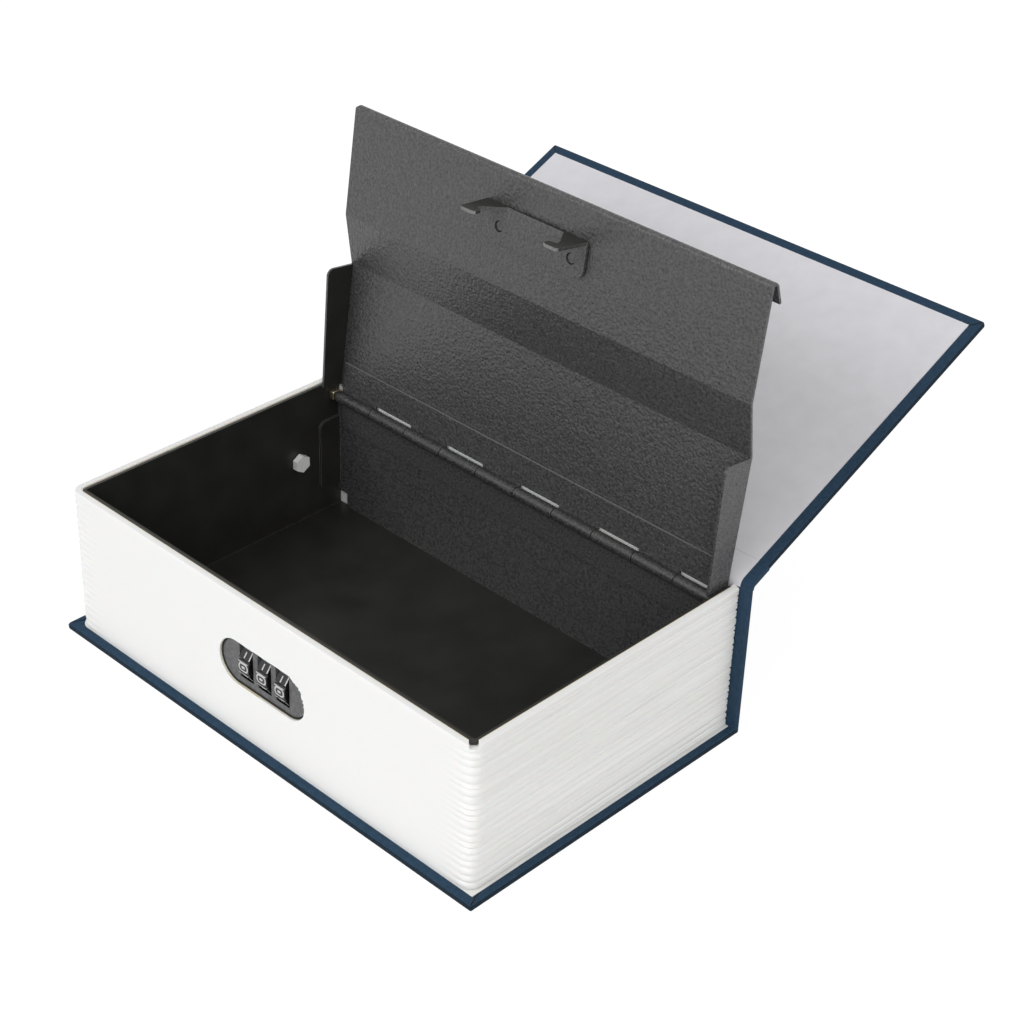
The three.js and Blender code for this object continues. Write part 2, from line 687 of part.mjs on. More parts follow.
function flangeShape() {
  const r = flangeCornerRadius;
  const u0 = lidStart + flangeEndGap;
  const u1 = firstBend - flangeEndGap;
  const shape = new THREE.Shape();
  shape.moveTo(-u0, lidMid);
  shape.lineTo(-u1, lidMid);
  shape.lineTo(-u1, lidOuter - flangeDepthFront + r);
  shape.absarc(-u1 + r, lidOuter - flangeDepthFront + r, r, Math.PI, Math.PI * 1.45, false);
  shape.lineTo(-u0, lidOuter - flangeDepthBack);
  return shape;
}

function cornerClip(side) {
  return sweepZ(polygon([
    [0, -lidLength - 1], [side * lidCornerClip, -lidLength - 1], [side * lidCornerClip, -lidLength + lidCornerClip],
    [0, -lidLength],
  ].map(([x, y]) => [x + side * (lidHalf - lidCornerClip), y])), -lidLength, lidLength);
}

const rivetU = bracketFromHinge - rivetFromBend;
const rivetXs = [-1, 1].map((side) => hookMiddle + rivetShift + side * rivetSpacing / 2);
function rivetHole(x) {
  return new THREE.CylinderGeometry(rivetShank / 2 + seatGap, rivetShank / 2 + seatGap, 4 * jogDrop, 20)
    .rotateX(Math.PI / 2).translate(x, -rivetU, 0);
}
const lidBlank = solid(sweepX(strip(lidLine(), lidSheet), -lidHalf, lidHalf))
  .add(solid(sweepX(flangeShape(), -lidHalf, -lidHalf + lidSheet, 6)))
  .add(solid(sweepX(flangeShape(), lidHalf - lidSheet, lidHalf, 6)));
add('lid_panel', cut(lidBlank, cornerClip(-1), cornerClip(1), ...rivetXs.map(rivetHole)), 'hammered', lidGroup);

// Latch bracket: a flat plate on the lid with two hooks bent down from its front edge
function hookOutline(side) {
  const edge = side < 0 ? bracketLeft : bracketRight;
  const at = (across, depth) => [edge - side * across, freeInner - depth];
  const points = [
    at(0, seatGap), at(hookChamfer, hookDepth - hookChamfer), at(hookTipSlope, hookDepth),
    at(hookBarbWidth - barbChamfer, hookDepth), at(hookBarbWidth, hookDepth - hookChamfer),
    at(hookBarbWidth - catchLift, hookNotchDepth + barbDrop), at(hookNeckWidth, hookNotchDepth + catchLift),
    at(hookNeckWidth, hookNeckDepth), at(hookBaseWidth, seatGap),
  ];
  return polygon(side < 0 ? points : points.reverse());
}

function bracketPlate() {
  const r = bracketCornerRadius;
  const back = -bracketFromHinge + bracketPlateWidth;
  const shape = new THREE.Shape();
  shape.moveTo(bracketLeft, -bracketFromHinge);
  shape.lineTo(bracketRight, -bracketFromHinge);
  shape.lineTo(bracketRight, back - r);
  shape.absarc(bracketRight - r, back - r, r, 0, Math.PI / 2, false);
  shape.lineTo(bracketLeft + r, back);
  shape.absarc(bracketLeft + r, back - r, r, Math.PI / 2, Math.PI, false);
  return shape;
}
const hookFront = -bracketFromHinge;
add('latch_bracket', cut(
  join(
    sweepZ(bracketPlate(), bracketTop - bracketSheet, bracketTop, 5),
    sweepY(hookOutline(-1), hookFront, hookFront + bracketSheet),
    sweepY(hookOutline(1), hookFront, hookFront + bracketSheet)),
  ...rivetXs.map(rivetHole)), 'hammered', lidGroup);

// Rivets with a low head on the outside of the lid, their flat ends sunk in the holes of the bracket
function rivet(x) {
  const low = bracketTop - bracketSheet + rivetSink;
  const r = rivetHead / 2;
  const shank = rivetShank / 2;
  const high = freeInner + lidSheet + seatGap;
  const profile = [
    [0, low], [shank, low], [shank, high], [r, high], [r * 0.8, high + rivetHeadHeight * 0.8],
    [0, high + rivetHeadHeight],
  ].map(([a, b]) => new THREE.Vector2(a, b));
  return new THREE.LatheGeometry(profile, 20).rotateX(Math.PI / 2).translate(x, -rivetU, 0);
}
rivetXs.forEach((x, i) => add(`bracket_rivet_${i + 1}`, surface(solid(rivet(x))), 'hammered', lidGroup));

// Lock face: a cast plate with three windows, two cheeks for the spindle and two screw bosses
const faceShape = obround(lockX, lockZ, lockOpeningLength - 2 * faceClearance, lockOpeningHeight - 2 * faceClearance);
const windowLeft = -dialWidth / 2 - windowLeftClearance;
const windowRight = dialWidth / 2 + windowRightClearance;
const windowTop = lockZ + lockOpeningHeight / 2 - faceClearance - windowTopRim;
const bossXs = [-1, 1].map((side) => lockX + side * bossFromCentre);
const bossZ = lockZ - bossDrop;
const cheekBack = dialY + spindleRadius + cheekWall;
const spindleHole = rodX(cheekLeft - 1, cheekRight + cheekWidth + 1, dialY, lockZ, spindleRadius + spindleClearance);
function cheek(x) {
  return box(x, x + cheekWidth, faceBack - 0.5, cheekBack, lockZ - cheekHeight / 2, lockZ + cheekHeight / 2);
}
add('lock_face', cut(
  join(
    sweepY(faceShape, faceFront, faceBack, 8),
    cheek(cheekLeft), cheek(cheekRight),
    ...bossXs.map((x) => rodY(faceBack - 0.5, faceBack + bossLength, x, bossZ, bossRadius))),
  ...dialXs.map((x) => rodX(x + windowLeft, x + windowRight, dialY, lockZ, dialRadius + windowEndClearance, 40)),
  ...dialXs.map((x) => box(x + windowLeft, x + windowRight, faceFront - 1, faceBack + 1, lockZ, windowTop)),
  spindleHole,
  ...bossXs.map((x) => rodY(faceBack + 0.4, faceBack + bossLength + 1, x, bossZ,
    lockScrewRadius + lockScrewClearance, 12))), 'lockFace');

// Dials: ten flats with grooves between them, each with a code cam on its head side
function dialShape() {
  const points = [];
  const step = Math.PI * 2 / dialSides;
  for (let i = 0; i < dialSides; i += 1) {
    const a = (i + 0.5) * step;
    const corner = (turn, radius) => [dialY + radius * Math.cos(a + turn), lockZ + radius * Math.sin(a + turn)];
    points.push(corner(-0.09, dialRadius - 0.02), corner(0, dialRadius - dialGroove), corner(0.09, dialRadius - 0.02));
  }
  const shape = polygon(points);
  const bore = new THREE.Path();
  bore.absarc(dialY, lockZ, spindleRadius + dialBoreClearance, 0, Math.PI * 2, true);
  shape.holes.push(bore);
  return shape;
}

function camShape() {
  const half = camNotchWidth / 2;
  const open = Math.asin(half / camRadius);
  const shape = new THREE.Shape();
  shape.moveTo(dialY + camRadius - camNotchDepth, lockZ + half);
  shape.lineTo(dialY + camRadius * Math.cos(open), lockZ + half);
  shape.absarc(dialY, lockZ, camRadius, open, Math.PI * 2 - open, false);
  shape.lineTo(dialY + camRadius - camNotchDepth, lockZ - half);
  const bore = new THREE.Path();
  bore.absarc(dialY, lockZ, spindleRadius + dialBoreClearance, 0, Math.PI * 2, true);
  shape.holes.push(bore);
  return shape;
}
dialXs.forEach((x, i) => {
  add(`dial_${i + 1}`, sweepX(dialShape(), x - dialWidth / 2, x + dialWidth / 2, 10), 'dial');
  const camEnd = x - dialWidth / 2 - camGap;
  add(`code_cam_${i + 1}`, sweepX(camShape(), camEnd - camWidth, camEnd, 16), 'steel');
});
add('dial_spindle', rodX(cheekLeft + 0.1, cheekRight + cheekWidth - 0.1, dialY, lockZ, spindleRadius), 'steel');

// Lock case behind the wall, open to the dials, with slots for the hooks in its top
function hookSlot(side) {
  const edge = side < 0 ? bracketLeft : bracketRight;
  const inner = edge - side * hookBarbWidth;
  const x0 = Math.min(edge, inner) - hookSlotClearance;
  const x1 = Math.max(edge, inner) + hookSlotClearance;
  return box(x0, x1, hookY - 2 * hookSlotClearance, hookY + bracketSheet + hookSlotClearance,
    caseTop - caseWall - 1, caseTop + 1);
}
const catchBack = hookY + bracketSheet / 2 + catchEarWidth / 2;
const catchFront = catchBack - catchBarWidth;
const guideXs = [cheekLeft - 0.4, dialXs[dialCount - 1] - 1.5];
const caseInnerBack = caseBack - caseWall;
const resetSlotHalf = (resetSlotLength + resetNeck) / 2;
const caseSection = polygon([
  [caseFront, caseBottom], [caseBack, caseBottom], [caseBack, caseTop - caseChamfer],
  [caseBack - caseChamfer, caseTop], [caseFront, caseTop],
]);
add('lock_case', cut(
  cut(
    solid(sweepX(caseSection, caseLeft, caseRight)),
    box(caseLeft + caseWall, caseRight - caseWall, caseFront - 1, caseInnerBack,
      caseBottom + caseWall, caseTop - caseWall))
    .add(join(...guideXs.map((x) => box(x, x + 2, catchFront - catchTravel + 1, caseInnerBack + 0.5,
      catchZ - seatGap - 1.4, catchZ - seatGap)))),
  hookSlot(-1), hookSlot(1),
  box(resetX - resetSlotHalf, resetX + resetSlotHalf, caseInnerBack - 1, caseBack + 1,
    resetHeight - resetNeck / 2 - seatGap, resetHeight + resetNeck / 2 + seatGap),
  ...bossXs.map((x) => rodY(caseInnerBack - 1, caseBack + 1, x, bossZ, lockScrewRadius + lockScrewClearance, 12))),
'lockBody');

// Long screws that pull the case and the face together through the wall
function lockScrew(x) {
  const head = caseBack + seatGap;
  return join(
    rodY(head, head + lockScrewHeadHeight, x, bossZ, lockScrewHead / 2, 14),
    rodY(faceBack + 1.4, head + 0.4, x, bossZ, lockScrewRadius, 12));
}
bossXs.forEach((x, i) => add(`lock_screw_${i + 1}`, lockScrew(x), 'screw'));

// Detent spring: a strip under the dials with one raised tongue for each
const detentBottom = caseBottom + caseWall + seatGap;
const dialBottom = lockZ - dialRadius;
function detentTongue(x) {
  const top = dialBottom - detentReach;
  const low = detentBottom + detentSheet;
  return sweepX(polygon([
    [dialY - 3, low - 0.2], [dialY + 3, low - 0.2], [dialY + 1, top], [dialY - 1, top],
  ]), x - 1.2, x + 1.2);
}
add('detent_spring', join(
  box(dialXs[0] - 4, dialXs[dialCount - 1] + 4, dialY - 3.2, dialY + 6, detentBottom, detentBottom + detentSheet),
  ...dialXs.map(detentTongue)), 'steel');

// Catch plate: its two ears stand over the barbs of the hooks
const earLeft = bracketLeft + hookNeckWidth + catchGap;
const earRight = bracketRight - hookNeckWidth - catchGap;
const fingerXs = dialXs.map((x) => x - dialWidth / 2 - camGap - camWidth / 2);
const armHalf = springRadius + 0.4;
add('catch_plate', join(
  box(earLeft, earRight, catchBack - catchEarWidth, catchBack, catchZ, catchZ + catchSheet),
  box(earLeft + 3.5, earRight - 3.5, catchFront, catchBack - 1, catchZ, catchZ + catchSheet),
  box(springX - armHalf, earLeft + 4.5, catchFront, catchFront + catchSheet, catchZ, catchZ + catchSheet),
  box(springX - armHalf, springX + armHalf, catchFront, catchFront + catchSheet,
    catchZ - catchArmDrop, catchZ + catchSheet),
  ...fingerXs.map((x) => box(x - catchFingerWidth / 2, x + catchFingerWidth / 2, catchFront, catchFront + 1.3,
    catchZ - catchFingerDrop, catchZ + catchSheet))), 'steel');

// Catch spring between the wall of the box and the arm of the catch plate
class Helix extends THREE.Curve {
  constructor(radius, length, turns) {
    super();
    this.radius = radius;
    this.length = length;
    this.turns = turns;
  }

  getPoint(t) {
    const a = t * this.turns * Math.PI * 2;
    return new THREE.Vector3(this.radius * Math.cos(a), this.length * t, this.radius * Math.sin(a));
  }
}
const springFront = boxFrontInner + seatGap + springWire;
const springBack = catchFront - seatGap - springWire;
const wire = new THREE.Shape();
wire.absarc(0, 0, springWire, 0, Math.PI * 2, false);
add('catch_spring', new THREE.ExtrudeGeometry(wire, {
  steps: springTurns * 10,
  curveSegments: 3,
  bevelEnabled: false,
  extrudePath: new Helix(springRadius, springBack - springFront, springTurns),
}).translate(springX, springFront, catchZ - springDrop), 'steel');

// Code reset slider in a slot of the case
function resetPart(size, y0, y1) {
  return box(resetX - size / 2, resetX + size / 2, y0, y1, resetHeight - size / 2, resetHeight + size / 2);
}
add('reset_slider', join(
  resetPart(resetHead, caseBack + seatGap, caseBack + seatGap + 1.1),
  resetPart(resetNeck, caseInnerBack - seatGap - 0.5, caseBack + seatGap + 0.5),
  resetPart(resetHead, caseInnerBack - seatGap - 0.8, caseInnerBack - seatGap)), 'lockBody');

export default group;
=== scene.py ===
import math
import random

import bpy
from mathutils import Matrix, Vector


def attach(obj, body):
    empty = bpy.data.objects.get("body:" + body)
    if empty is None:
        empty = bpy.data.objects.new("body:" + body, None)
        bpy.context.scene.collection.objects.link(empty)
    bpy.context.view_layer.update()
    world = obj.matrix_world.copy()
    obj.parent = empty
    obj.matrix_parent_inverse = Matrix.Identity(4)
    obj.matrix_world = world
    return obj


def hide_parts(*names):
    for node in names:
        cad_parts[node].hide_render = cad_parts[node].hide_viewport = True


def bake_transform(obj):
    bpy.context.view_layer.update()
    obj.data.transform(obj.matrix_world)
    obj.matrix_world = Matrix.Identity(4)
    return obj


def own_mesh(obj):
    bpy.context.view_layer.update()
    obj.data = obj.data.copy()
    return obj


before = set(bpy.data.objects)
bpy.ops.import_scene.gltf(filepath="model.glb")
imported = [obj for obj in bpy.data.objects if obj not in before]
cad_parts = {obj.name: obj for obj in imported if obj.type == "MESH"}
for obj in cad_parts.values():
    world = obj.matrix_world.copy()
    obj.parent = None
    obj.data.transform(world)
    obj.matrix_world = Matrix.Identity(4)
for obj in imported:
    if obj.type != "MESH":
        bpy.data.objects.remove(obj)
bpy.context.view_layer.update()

deg = math.radians


# Small helpers for working a mesh as by hand, with sizes in millimetres

def clearPick():
    bpy.ops.object.select_all(action="DESELECT")


def workOn(piece):
    if bpy.context.object and bpy.context.object.mode != "OBJECT":
        bpy.ops.object.mode_set(mode="OBJECT")
    clearPick()
    piece.select_set(True)
    bpy.context.view_layer.objects.active = piece


def nameIt(piece, name):
    piece.name = name
    piece.data.name = name
    return piece


def addBlock(name, low, high):
    clearPick()
    middle = [(a + b) / 2000 for a, b in zip(low, high)]
    size = [(b - a) / 1000 for a, b in zip(low, high)]
    bpy.ops.mesh.primitive_cube_add(size=1, location=middle, scale=size)
    bpy.ops.object.transform_apply(location=True, rotation=True, scale=True)
    return nameIt(bpy.context.object, name)


def choose(piece, kind, test):
    # Leaves edit mode on, with only the parts picked that pass the test
    workOn(piece)
    bpy.ops.object.mode_set(mode="EDIT")
    bpy.ops.mesh.select_mode(type=kind)
    bpy.ops.mesh.select_all(action="DESELECT")
    bpy.ops.object.mode_set(mode="OBJECT")
    mesh = piece.data
    if kind == "FACE":
        for face in mesh.polygons:
            face.select = test(face.center * 1000, face.normal)
    elif kind == "EDGE":
        for edge in mesh.edges:
            edge.select = test(*[mesh.vertices[i].co * 1000 for i in edge.vertices])
    else:
        for vertex in mesh.vertices:
            vertex.select = test(vertex.co * 1000)
    bpy.ops.object.mode_set(mode="EDIT")


def editWhole(piece):
    workOn(piece)
    bpy.ops.object.mode_set(mode="EDIT")
    bpy.ops.mesh.select_all(action="SELECT")


def sliceAt(axis, place):
    # A row of edges round the piece in edit mode, square to an axis
    normal = [float(i == axis) for i in range(3)]
    bpy.ops.mesh.select_all(action="SELECT")
    bpy.ops.mesh.bisect(plane_co=[part * place / 1000 for part in normal], plane_no=normal)


def bevelPicked(width, segments):
    bpy.ops.mesh.bevel(offset=width / 1000, segments=segments, clamp_overlap=True)


def paintPicked(piece, place):
    piece.active_material_index = place
    bpy.ops.object.material_slot_assign()


def endEdit():
    bpy.ops.object.mode_set(mode="OBJECT")


def applyModifier(piece, kind, **settings):
    workOn(piece)
    made = piece.modifiers.new(kind.lower(), kind)
    for name, value in settings.items():
        setattr(made, name, value)
    bpy.ops.object.modifier_apply(modifier=made.name)


def cutAway(piece, *cutters):
    for cutter in cutters:
        applyModifier(piece, "BOOLEAN", operation="DIFFERENCE", solver="EXACT", object=cutter,
                      material_mode="TRANSFER")
        bpy.data.objects.remove(cutter)


def smoothByAngle(piece, angle=40):
    workOn(piece)
    bpy.ops.object.shade_smooth_by_angle(angle=deg(angle))


def wear(piece, *materials):
    # Faces keep their index, so the first material is the one of the whole piece
    places = [face.material_index for face in piece.data.polygons]
    piece.data.materials.clear()
    for material in materials:
        piece.data.materials.append(material)
    for face, place in zip(piece.data.polygons, places):
        face.material_index = min(place, len(materials) - 1)


def finishPiece(piece, body, slot, material, *nodes):
    wear(piece, *(material if isinstance(material, tuple) else (material,)))
    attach(piece, body)
    if nodes:
        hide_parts(*nodes)


# Helpers for materials

def toLinear(colour):
    channels = [int(colour[i:i + 2], 16) / 255 for i in (1, 3, 5)]
    return [c / 12.92 if c <= 0.04045 else ((c + 0.055) / 1.055) ** 2.4 for c in channels] + [1]


def addNode(tree, kind, values=None, links=None, **settings):
    made = tree.nodes.new("ShaderNode" + kind)
    for name, value in settings.items():
        setattr(made, name, value)
    for name, value in (values or {}).items():
        made.inputs[name].default_value = value
    for name, source in (links or {}).items():
        tree.links.new(source, made.inputs[name])
    return made


def startMaterial(name, colour, roughness, metallic=0, **values):
    made = bpy.data.materials.new(name)
    made.use_nodes = True
    tree = made.node_tree
    shader = tree.nodes["Principled BSDF"]
    shader.inputs["Base Color"].default_value = toLinear(colour)
    shader.inputs["Roughness"].default_value = roughness
    shader.inputs["Metallic"].default_value = metallic
    for key, value in values.items():
        shader.inputs[key.replace("_", " ")].default_value = value
    place = addNode(tree, "TexCoord").outputs["Object"]
    return made, tree, shader, place


def perMetre(size):
    # How often a pattern of this size in millimetres repeats in a metre
    return 1000 / size


def noise(tree, place, size, detail=2, stretch=(1, 1, 1)):
    mapped = addNode(tree, "Mapping", {"Scale": stretch}, {"Vector": place}).outputs[0]
    values = {"Scale": perMetre(size), "Detail": detail}
    return addNode(tree, "TexNoise", values, {"Vector": mapped}).outputs["Fac"]


def bumpFrom(tree, height, depth, strength=1, under=None):
    links = {"Height": height}
    if under:
        links["Normal"] = under
    return addNode(tree, "Bump", {"Strength": strength, "Distance": depth / 1000}, links).outputs[0]


def tint(tree, fac, low, high, start=0.3, end=0.7):
    ramp = addNode(tree, "ValToRGB", links={"Fac": fac})
    ramp.color_ramp.elements[0].position = start
    ramp.color_ramp.elements[0].color = toLinear(low)
    ramp.color_ramp.elements[1].position = end
    ramp.color_ramp.elements[1].color = toLinear(high)
    return ramp.outputs["Color"]


def shareAlong(tree, source, start, end):
    # Grows from 0 to 1 between two places in millimetres
    values = {"From Min": start / 1000, "From Max": end / 1000}
    return addNode(tree, "MapRange", values, {"Value": source}).outputs[0]


def levels(tree, fac, low, high):
    return addNode(tree, "MapRange", {"To Min": low, "To Max": high}, {"Value": fac}).outputs[0]


# Woven cotton book cloth, dyed and filled with starch: flat navy with a fine square weave
def makeBookCloth(name, low, high):
    made, tree, shader, place = startMaterial(name, high, 0.8, Specular_IOR_Level=0.15)
    along = addNode(tree, "SeparateXYZ", links={"Vector": place})
    across = addNode(tree, "VectorMath", {1: (0, 1, 1)}, {0: place}, operation="DOT_PRODUCT")
    threads = []
    # Threads are 0.35 mm apart on such cloth and drawn at 0.6 mm, so that they show
    turns = 2 * math.pi * perMetre(0.6)
    for source in (along.outputs["X"], across.outputs["Value"]):
        turned = addNode(tree, "Math", {1: turns}, {0: source}, operation="MULTIPLY")
        threads.append(addNode(tree, "Math", links={0: turned.outputs[0]}, operation="SINE").outputs[0])
    weave = addNode(tree, "Math", links={0: threads[0], 1: threads[1]}, operation="MULTIPLY").outputs[0]
    slubs = noise(tree, place, 1.2, 4)
    both = addNode(tree, "Math", {1: 0.35}, {0: weave, 2: slubs}, operation="MULTIPLY_ADD").outputs[0]
    tree.links.new(tint(tree, both, low, high, 0.1, 0.9), shader.inputs["Base Color"])
    tree.links.new(levels(tree, slubs, 0.72, 0.9), shader.inputs["Roughness"])
    tree.links.new(bumpFrom(tree, both, 0.04), shader.inputs["Normal"])
    return made


# Uncoated paper, calendered: flat white with a faint cloudiness and no shine
def makePaper(name, low, high):
    made, tree, shader, place = startMaterial(name, high, 0.85)
    clouds = noise(tree, place, 6, 5)
    fibres = noise(tree, place, 0.4, 3)
    tree.links.new(tint(tree, clouds, low, high), shader.inputs["Base Color"])
    tree.links.new(bumpFrom(tree, fibres, 0.015), shader.inputs["Normal"])
    return made


# Grey board pressed from waste paper: speckled grey brown, hidden but for its colour
def makeBoard():
    made, tree, shader, place = startMaterial("pressedGreyBoard", "#8d857a", 0.9)
    flecks = noise(tree, place, 0.8, 4)
    tree.links.new(tint(tree, flecks, "#7c756b", "#9c958a"), shader.inputs["Base Color"])
    tree.links.new(bumpFrom(tree, flecks, 0.05), shader.inputs["Normal"])
    return made


# White polystyrene, moulded: soft white with long fine lines that stand for page edges
def makePageEdges(name, low, high):
    made, tree, shader, place = startMaterial(name, high, 0.55, Subsurface_Weight=0.08,
                                              Subsurface_Scale=0.002)
    lines = noise(tree, place, 0.55, 2, (0.02, 0.02, 1))
    # The lines are deep on the two ends of the book and faint on the fore-edge
    normal = addNode(tree, "NewGeometry").outputs["Normal"]
    facing = addNode(tree, "SeparateXYZ", links={"Vector": normal})
    ends = addNode(tree, "Math", links={0: facing.outputs["X"]}, operation="ABSOLUTE").outputs[0]
    plain = addNode(tree, "Math", {0: 1}, {1: ends}, operation="SUBTRACT").outputs[0]
    streaks = noise(tree, place, 1.3, 3, (0.02, 0.02, 1))
    shade = addNode(tree, "Math", links={0: streaks, 1: ends, 2: plain},
                    operation="MULTIPLY_ADD").outputs[0]
    tree.links.new(tint(tree, shade, low, high, 0.42, 0.72), shader.inputs["Base Color"])
    deep = addNode(tree, "Math", {2: 0.004}, {0: lines, 1: levels(tree, ends, 0.06, 1)},
                   operation="MULTIPLY_ADD")
    first = bumpFrom(tree, deep.outputs[0], 0.1, 0.6)
    tree.links.new(bumpFrom(tree, noise(tree, place, 0.9, 2), 0.01, 1, first), shader.inputs["Normal"])
    return made


# Hammered enamel, stoved on sheet steel: dark grey with dimples that break up its gloss
def makeHammered():
    made, tree, shader, place = startMaterial("stovedHammeredEnamel", "#454546", 0.3)
    cells = addNode(tree, "TexVoronoi", {"Scale": perMetre(1.2), "Smoothness": 0.7}, {"Vector": place},
                    feature="SMOOTH_F1").outputs["Distance"]
    ripple = noise(tree, place, 0.8, 2)
    height = addNode(tree, "Math", {1: 0.5}, {0: cells, 2: ripple},
                     operation="MULTIPLY_ADD").outputs[0]
    tree.links.new(tint(tree, ripple, "#373738", "#535354"), shader.inputs["Base Color"])
    tree.links.new(levels(tree, ripple, 0.22, 0.34), shader.inputs["Roughness"])
    tree.links.new(bumpFrom(tree, height, 0.26), shader.inputs["Normal"])
    return made


# Black powder coat, baked: satin near-black with a fine orange peel
def makePowderCoat():
    made, tree, shader, place = startMaterial("bakedBlackPowderCoat", "#2b2b29", 0.36,
                                              Specular_IOR_Level=0.32)
    peel = noise(tree, place, 0.9, 2)
    dust = noise(tree, place, 14, 4)
    tree.links.new(tint(tree, dust, "#262624", "#30302d"), shader.inputs["Base Color"])
    tree.links.new(levels(tree, dust, 0.3, 0.42), shader.inputs["Roughness"])
    tree.links.new(bumpFrom(tree, peel, 0.03), shader.inputs["Normal"])
    return made


# Steel of several finishes: grain, spots and the softness of their shine
def makeSteel(name, low, high, roughness, grain):
    made, tree, shader, place = startMaterial(name, high, roughness, metallic=1)
    marks = noise(tree, place, grain, 4)
    tree.links.new(tint(tree, marks, low, high), shader.inputs["Base Color"])
    tree.links.new(levels(tree, marks, roughness - 0.07, roughness + 0.1), shader.inputs["Roughness"])
    tree.links.new(bumpFrom(tree, marks, 0.01), shader.inputs["Normal"])
    return made


# Plastics and paints with an even fine grain
def makeFineGrain(name, low, high, roughness, grain, depth):
    made, tree, shader, place = startMaterial(name, high, roughness)
    marks = noise(tree, place, grain, 3)
    tree.links.new(tint(tree, marks, low, high), shader.inputs["Base Color"])
    tree.links.new(levels(tree, marks, roughness - 0.06, roughness + 0.08), shader.inputs["Roughness"])
    tree.links.new(bumpFrom(tree, marks, depth), shader.inputs["Normal"])
    return made


bookCloth = makeBookCloth("wovenBookCloth", "#20364a", "#344b61")
# Painted shade: the same cloth drawn darker, on the edge faces of the boards and in the creases at the
# corners
shadedBookCloth = makeBookCloth("bookClothPaintedShade", "#13202b", "#22313d")
endPaper = makePaper("calenderedEndpaper", "#dfdee3", "#e5e4e9")
whitePaper = makePaper("bleachedEndpaper", "#ececea", "#f4f4f2")
greyBoard = makeBoard()
pageEdges = makePageEdges("mouldedPageEdges", "#ececea", "#f4f4f3")
# Cut polystyrene: a cream line where the white skin ends
cutEdge = makeFineGrain("cutPolystyreneEdge", "#e2d6b8", "#ece2c8", 0.6, 0.6, 0.02)
hammered = makeHammered()
powderCoat = makePowderCoat()
# Zinc plate with a yellow tinge, on the hinge pin
zincPlate = makeSteel("zincPlatedSteel", "#c8bfa0", "#d8d0b8", 0.35, 0.5)
# Nickel plate: bright and cool, on the screws of the lock
screwSteel = makeSteel("nickelPlatedSteel", "#d6d6d8", "#e8e8ea", 0.28, 0.6)
# Bare rolled steel: mid grey with a soft shine, inside the lock
plainSteel = makeSteel("rolledSteel", "#8a8b8e", "#a0a1a4", 0.35, 0.7)
# Painted reflection: the plated side screws drawn nearly white, bright against the black wall
brightPaintedScrew = makeFineGrain("screwHeadPaintedReflection", "#f0f1f2", "#fafafa", 0.45, 0.7, 0.01)
# Painted zinc casting: grey with a coarse grain, round the dials
castGrey = makeFineGrain("paintedDieCasting", "#424244", "#626264", 0.42, 1.1, 0.03)
# Moulded plastic of the dials: near-black and smooth
dialPlastic = makeFineGrain("mouldedDialPlastic", "#121214", "#19191b", 0.3, 0.5, 0.008)
# Pad-printed ink: pale grey and flat
dialInk = makeFineGrain("printedDialInk", "#b6b6b8", "#d4d4d6", 0.5, 0.4, 0.01)
# Painted highlight: light grey lines on the eased edges round the lid and its bracket, where the edges
# catch the light
edgeHighlightEnamel = makeFineGrain("enamelEdgePaintedHighlight", "#8c8c8c", "#a8a8a6", 0.3, 0.9, 0.01)
# Painted highlight: brownish grey lines on the eased edges round the box, where the edges catch the light
edgeHighlightCoat = makeFineGrain("powderCoatEdgePaintedHighlight", "#5c5b55", "#78776f", 0.34, 0.9, 0.01)
# Enamel that lies dull and uneven on the knuckles
dullEnamel = makeFineGrain("sprayedDullEnamel", "#111111", "#484848", 0.42, 0.7, 0.2)
# Enamel without dimples, on the flange of the lid
smoothEnamel = makeFineGrain("brushedSmoothEnamel", "#50524e", "#5e605b", 0.35, 3, 0.01)
# Painted reflection and highlight: speckled light grey on the ends of the hooks, where they reflect the
# white floor, and on the top edge of the leaf
edgeGlintGrey = makeFineGrain("paintedGlintEdgeGrey", "#5e5e5c", "#8a8a88", 0.35, 0.5, 0.02)
# Moulded plastic of the lock case: flat near-black
lockPlastic = makeFineGrain("mouldedAbsPlastic", "#1c1c1e", "#242426", 0.5, 0.6, 0.02)
# Painted shade: black with hardly any shine, for the ring in the shaded gap round the lock plate
gapShadeBlack = makeFineGrain("paintedGapShadeBlack", "#050505", "#0b0b0b", 0.75, 0.6, 0.01)


# Powder coat on the hem: near-black, with painted shade on its outer half in the gap by the page block and
# a painted highlight as a light line on its inner one; along the hem the outer half grows lighter and the
# inner line darker towards the tail
hemShadeAndTone = {"seam": -51.2, "highlit": -51.1, "head": -85, "tail": 85}


def makeHemCoat():
    made, tree, shader, place = startMaterial("hemCoatPaintedShadeAndHighlight", "#2c2b27", 0.5)
    along = addNode(tree, "SeparateXYZ", links={"Vector": place})
    share = shareAlong(tree, along.outputs["X"], hemShadeAndTone["head"], hemShadeAndTone["tail"])
    inner = shareAlong(tree, along.outputs["Y"], hemShadeAndTone["seam"], hemShadeAndTone["highlit"])
    marks = noise(tree, place, 1.4, 3)
    tailward = addNode(tree, "Math", {1: 0.3}, {0: marks, 2: share}, operation="MULTIPLY_ADD").outputs[0]
    # Painted shade: the outer half, in the gap by the page block
    shadedOuter = tint(tree, tailward, "#0c0c0b", "#211f1b", 0.1, 1.1)
    # Painted highlight: the light line on the inner half
    highlit = tint(tree, tailward, "#464642", "#302e2a", 0.1, 1.1)
    mixed = addNode(tree, "MixRGB", links={"Fac": inner, "Color1": shadedOuter, "Color2": highlit})
    tree.links.new(mixed.outputs[0], shader.inputs["Base Color"])
    # Dust keeps it dull at the head, and hands give it some shine towards the tail
    tree.links.new(levels(tree, share, 0.02, 0.2), shader.inputs["Specular IOR Level"])
    tree.links.new(bumpFrom(tree, marks, 0.02), shader.inputs["Normal"])
    return made


hemShadeCoat = makeHemCoat()
print("materials made")

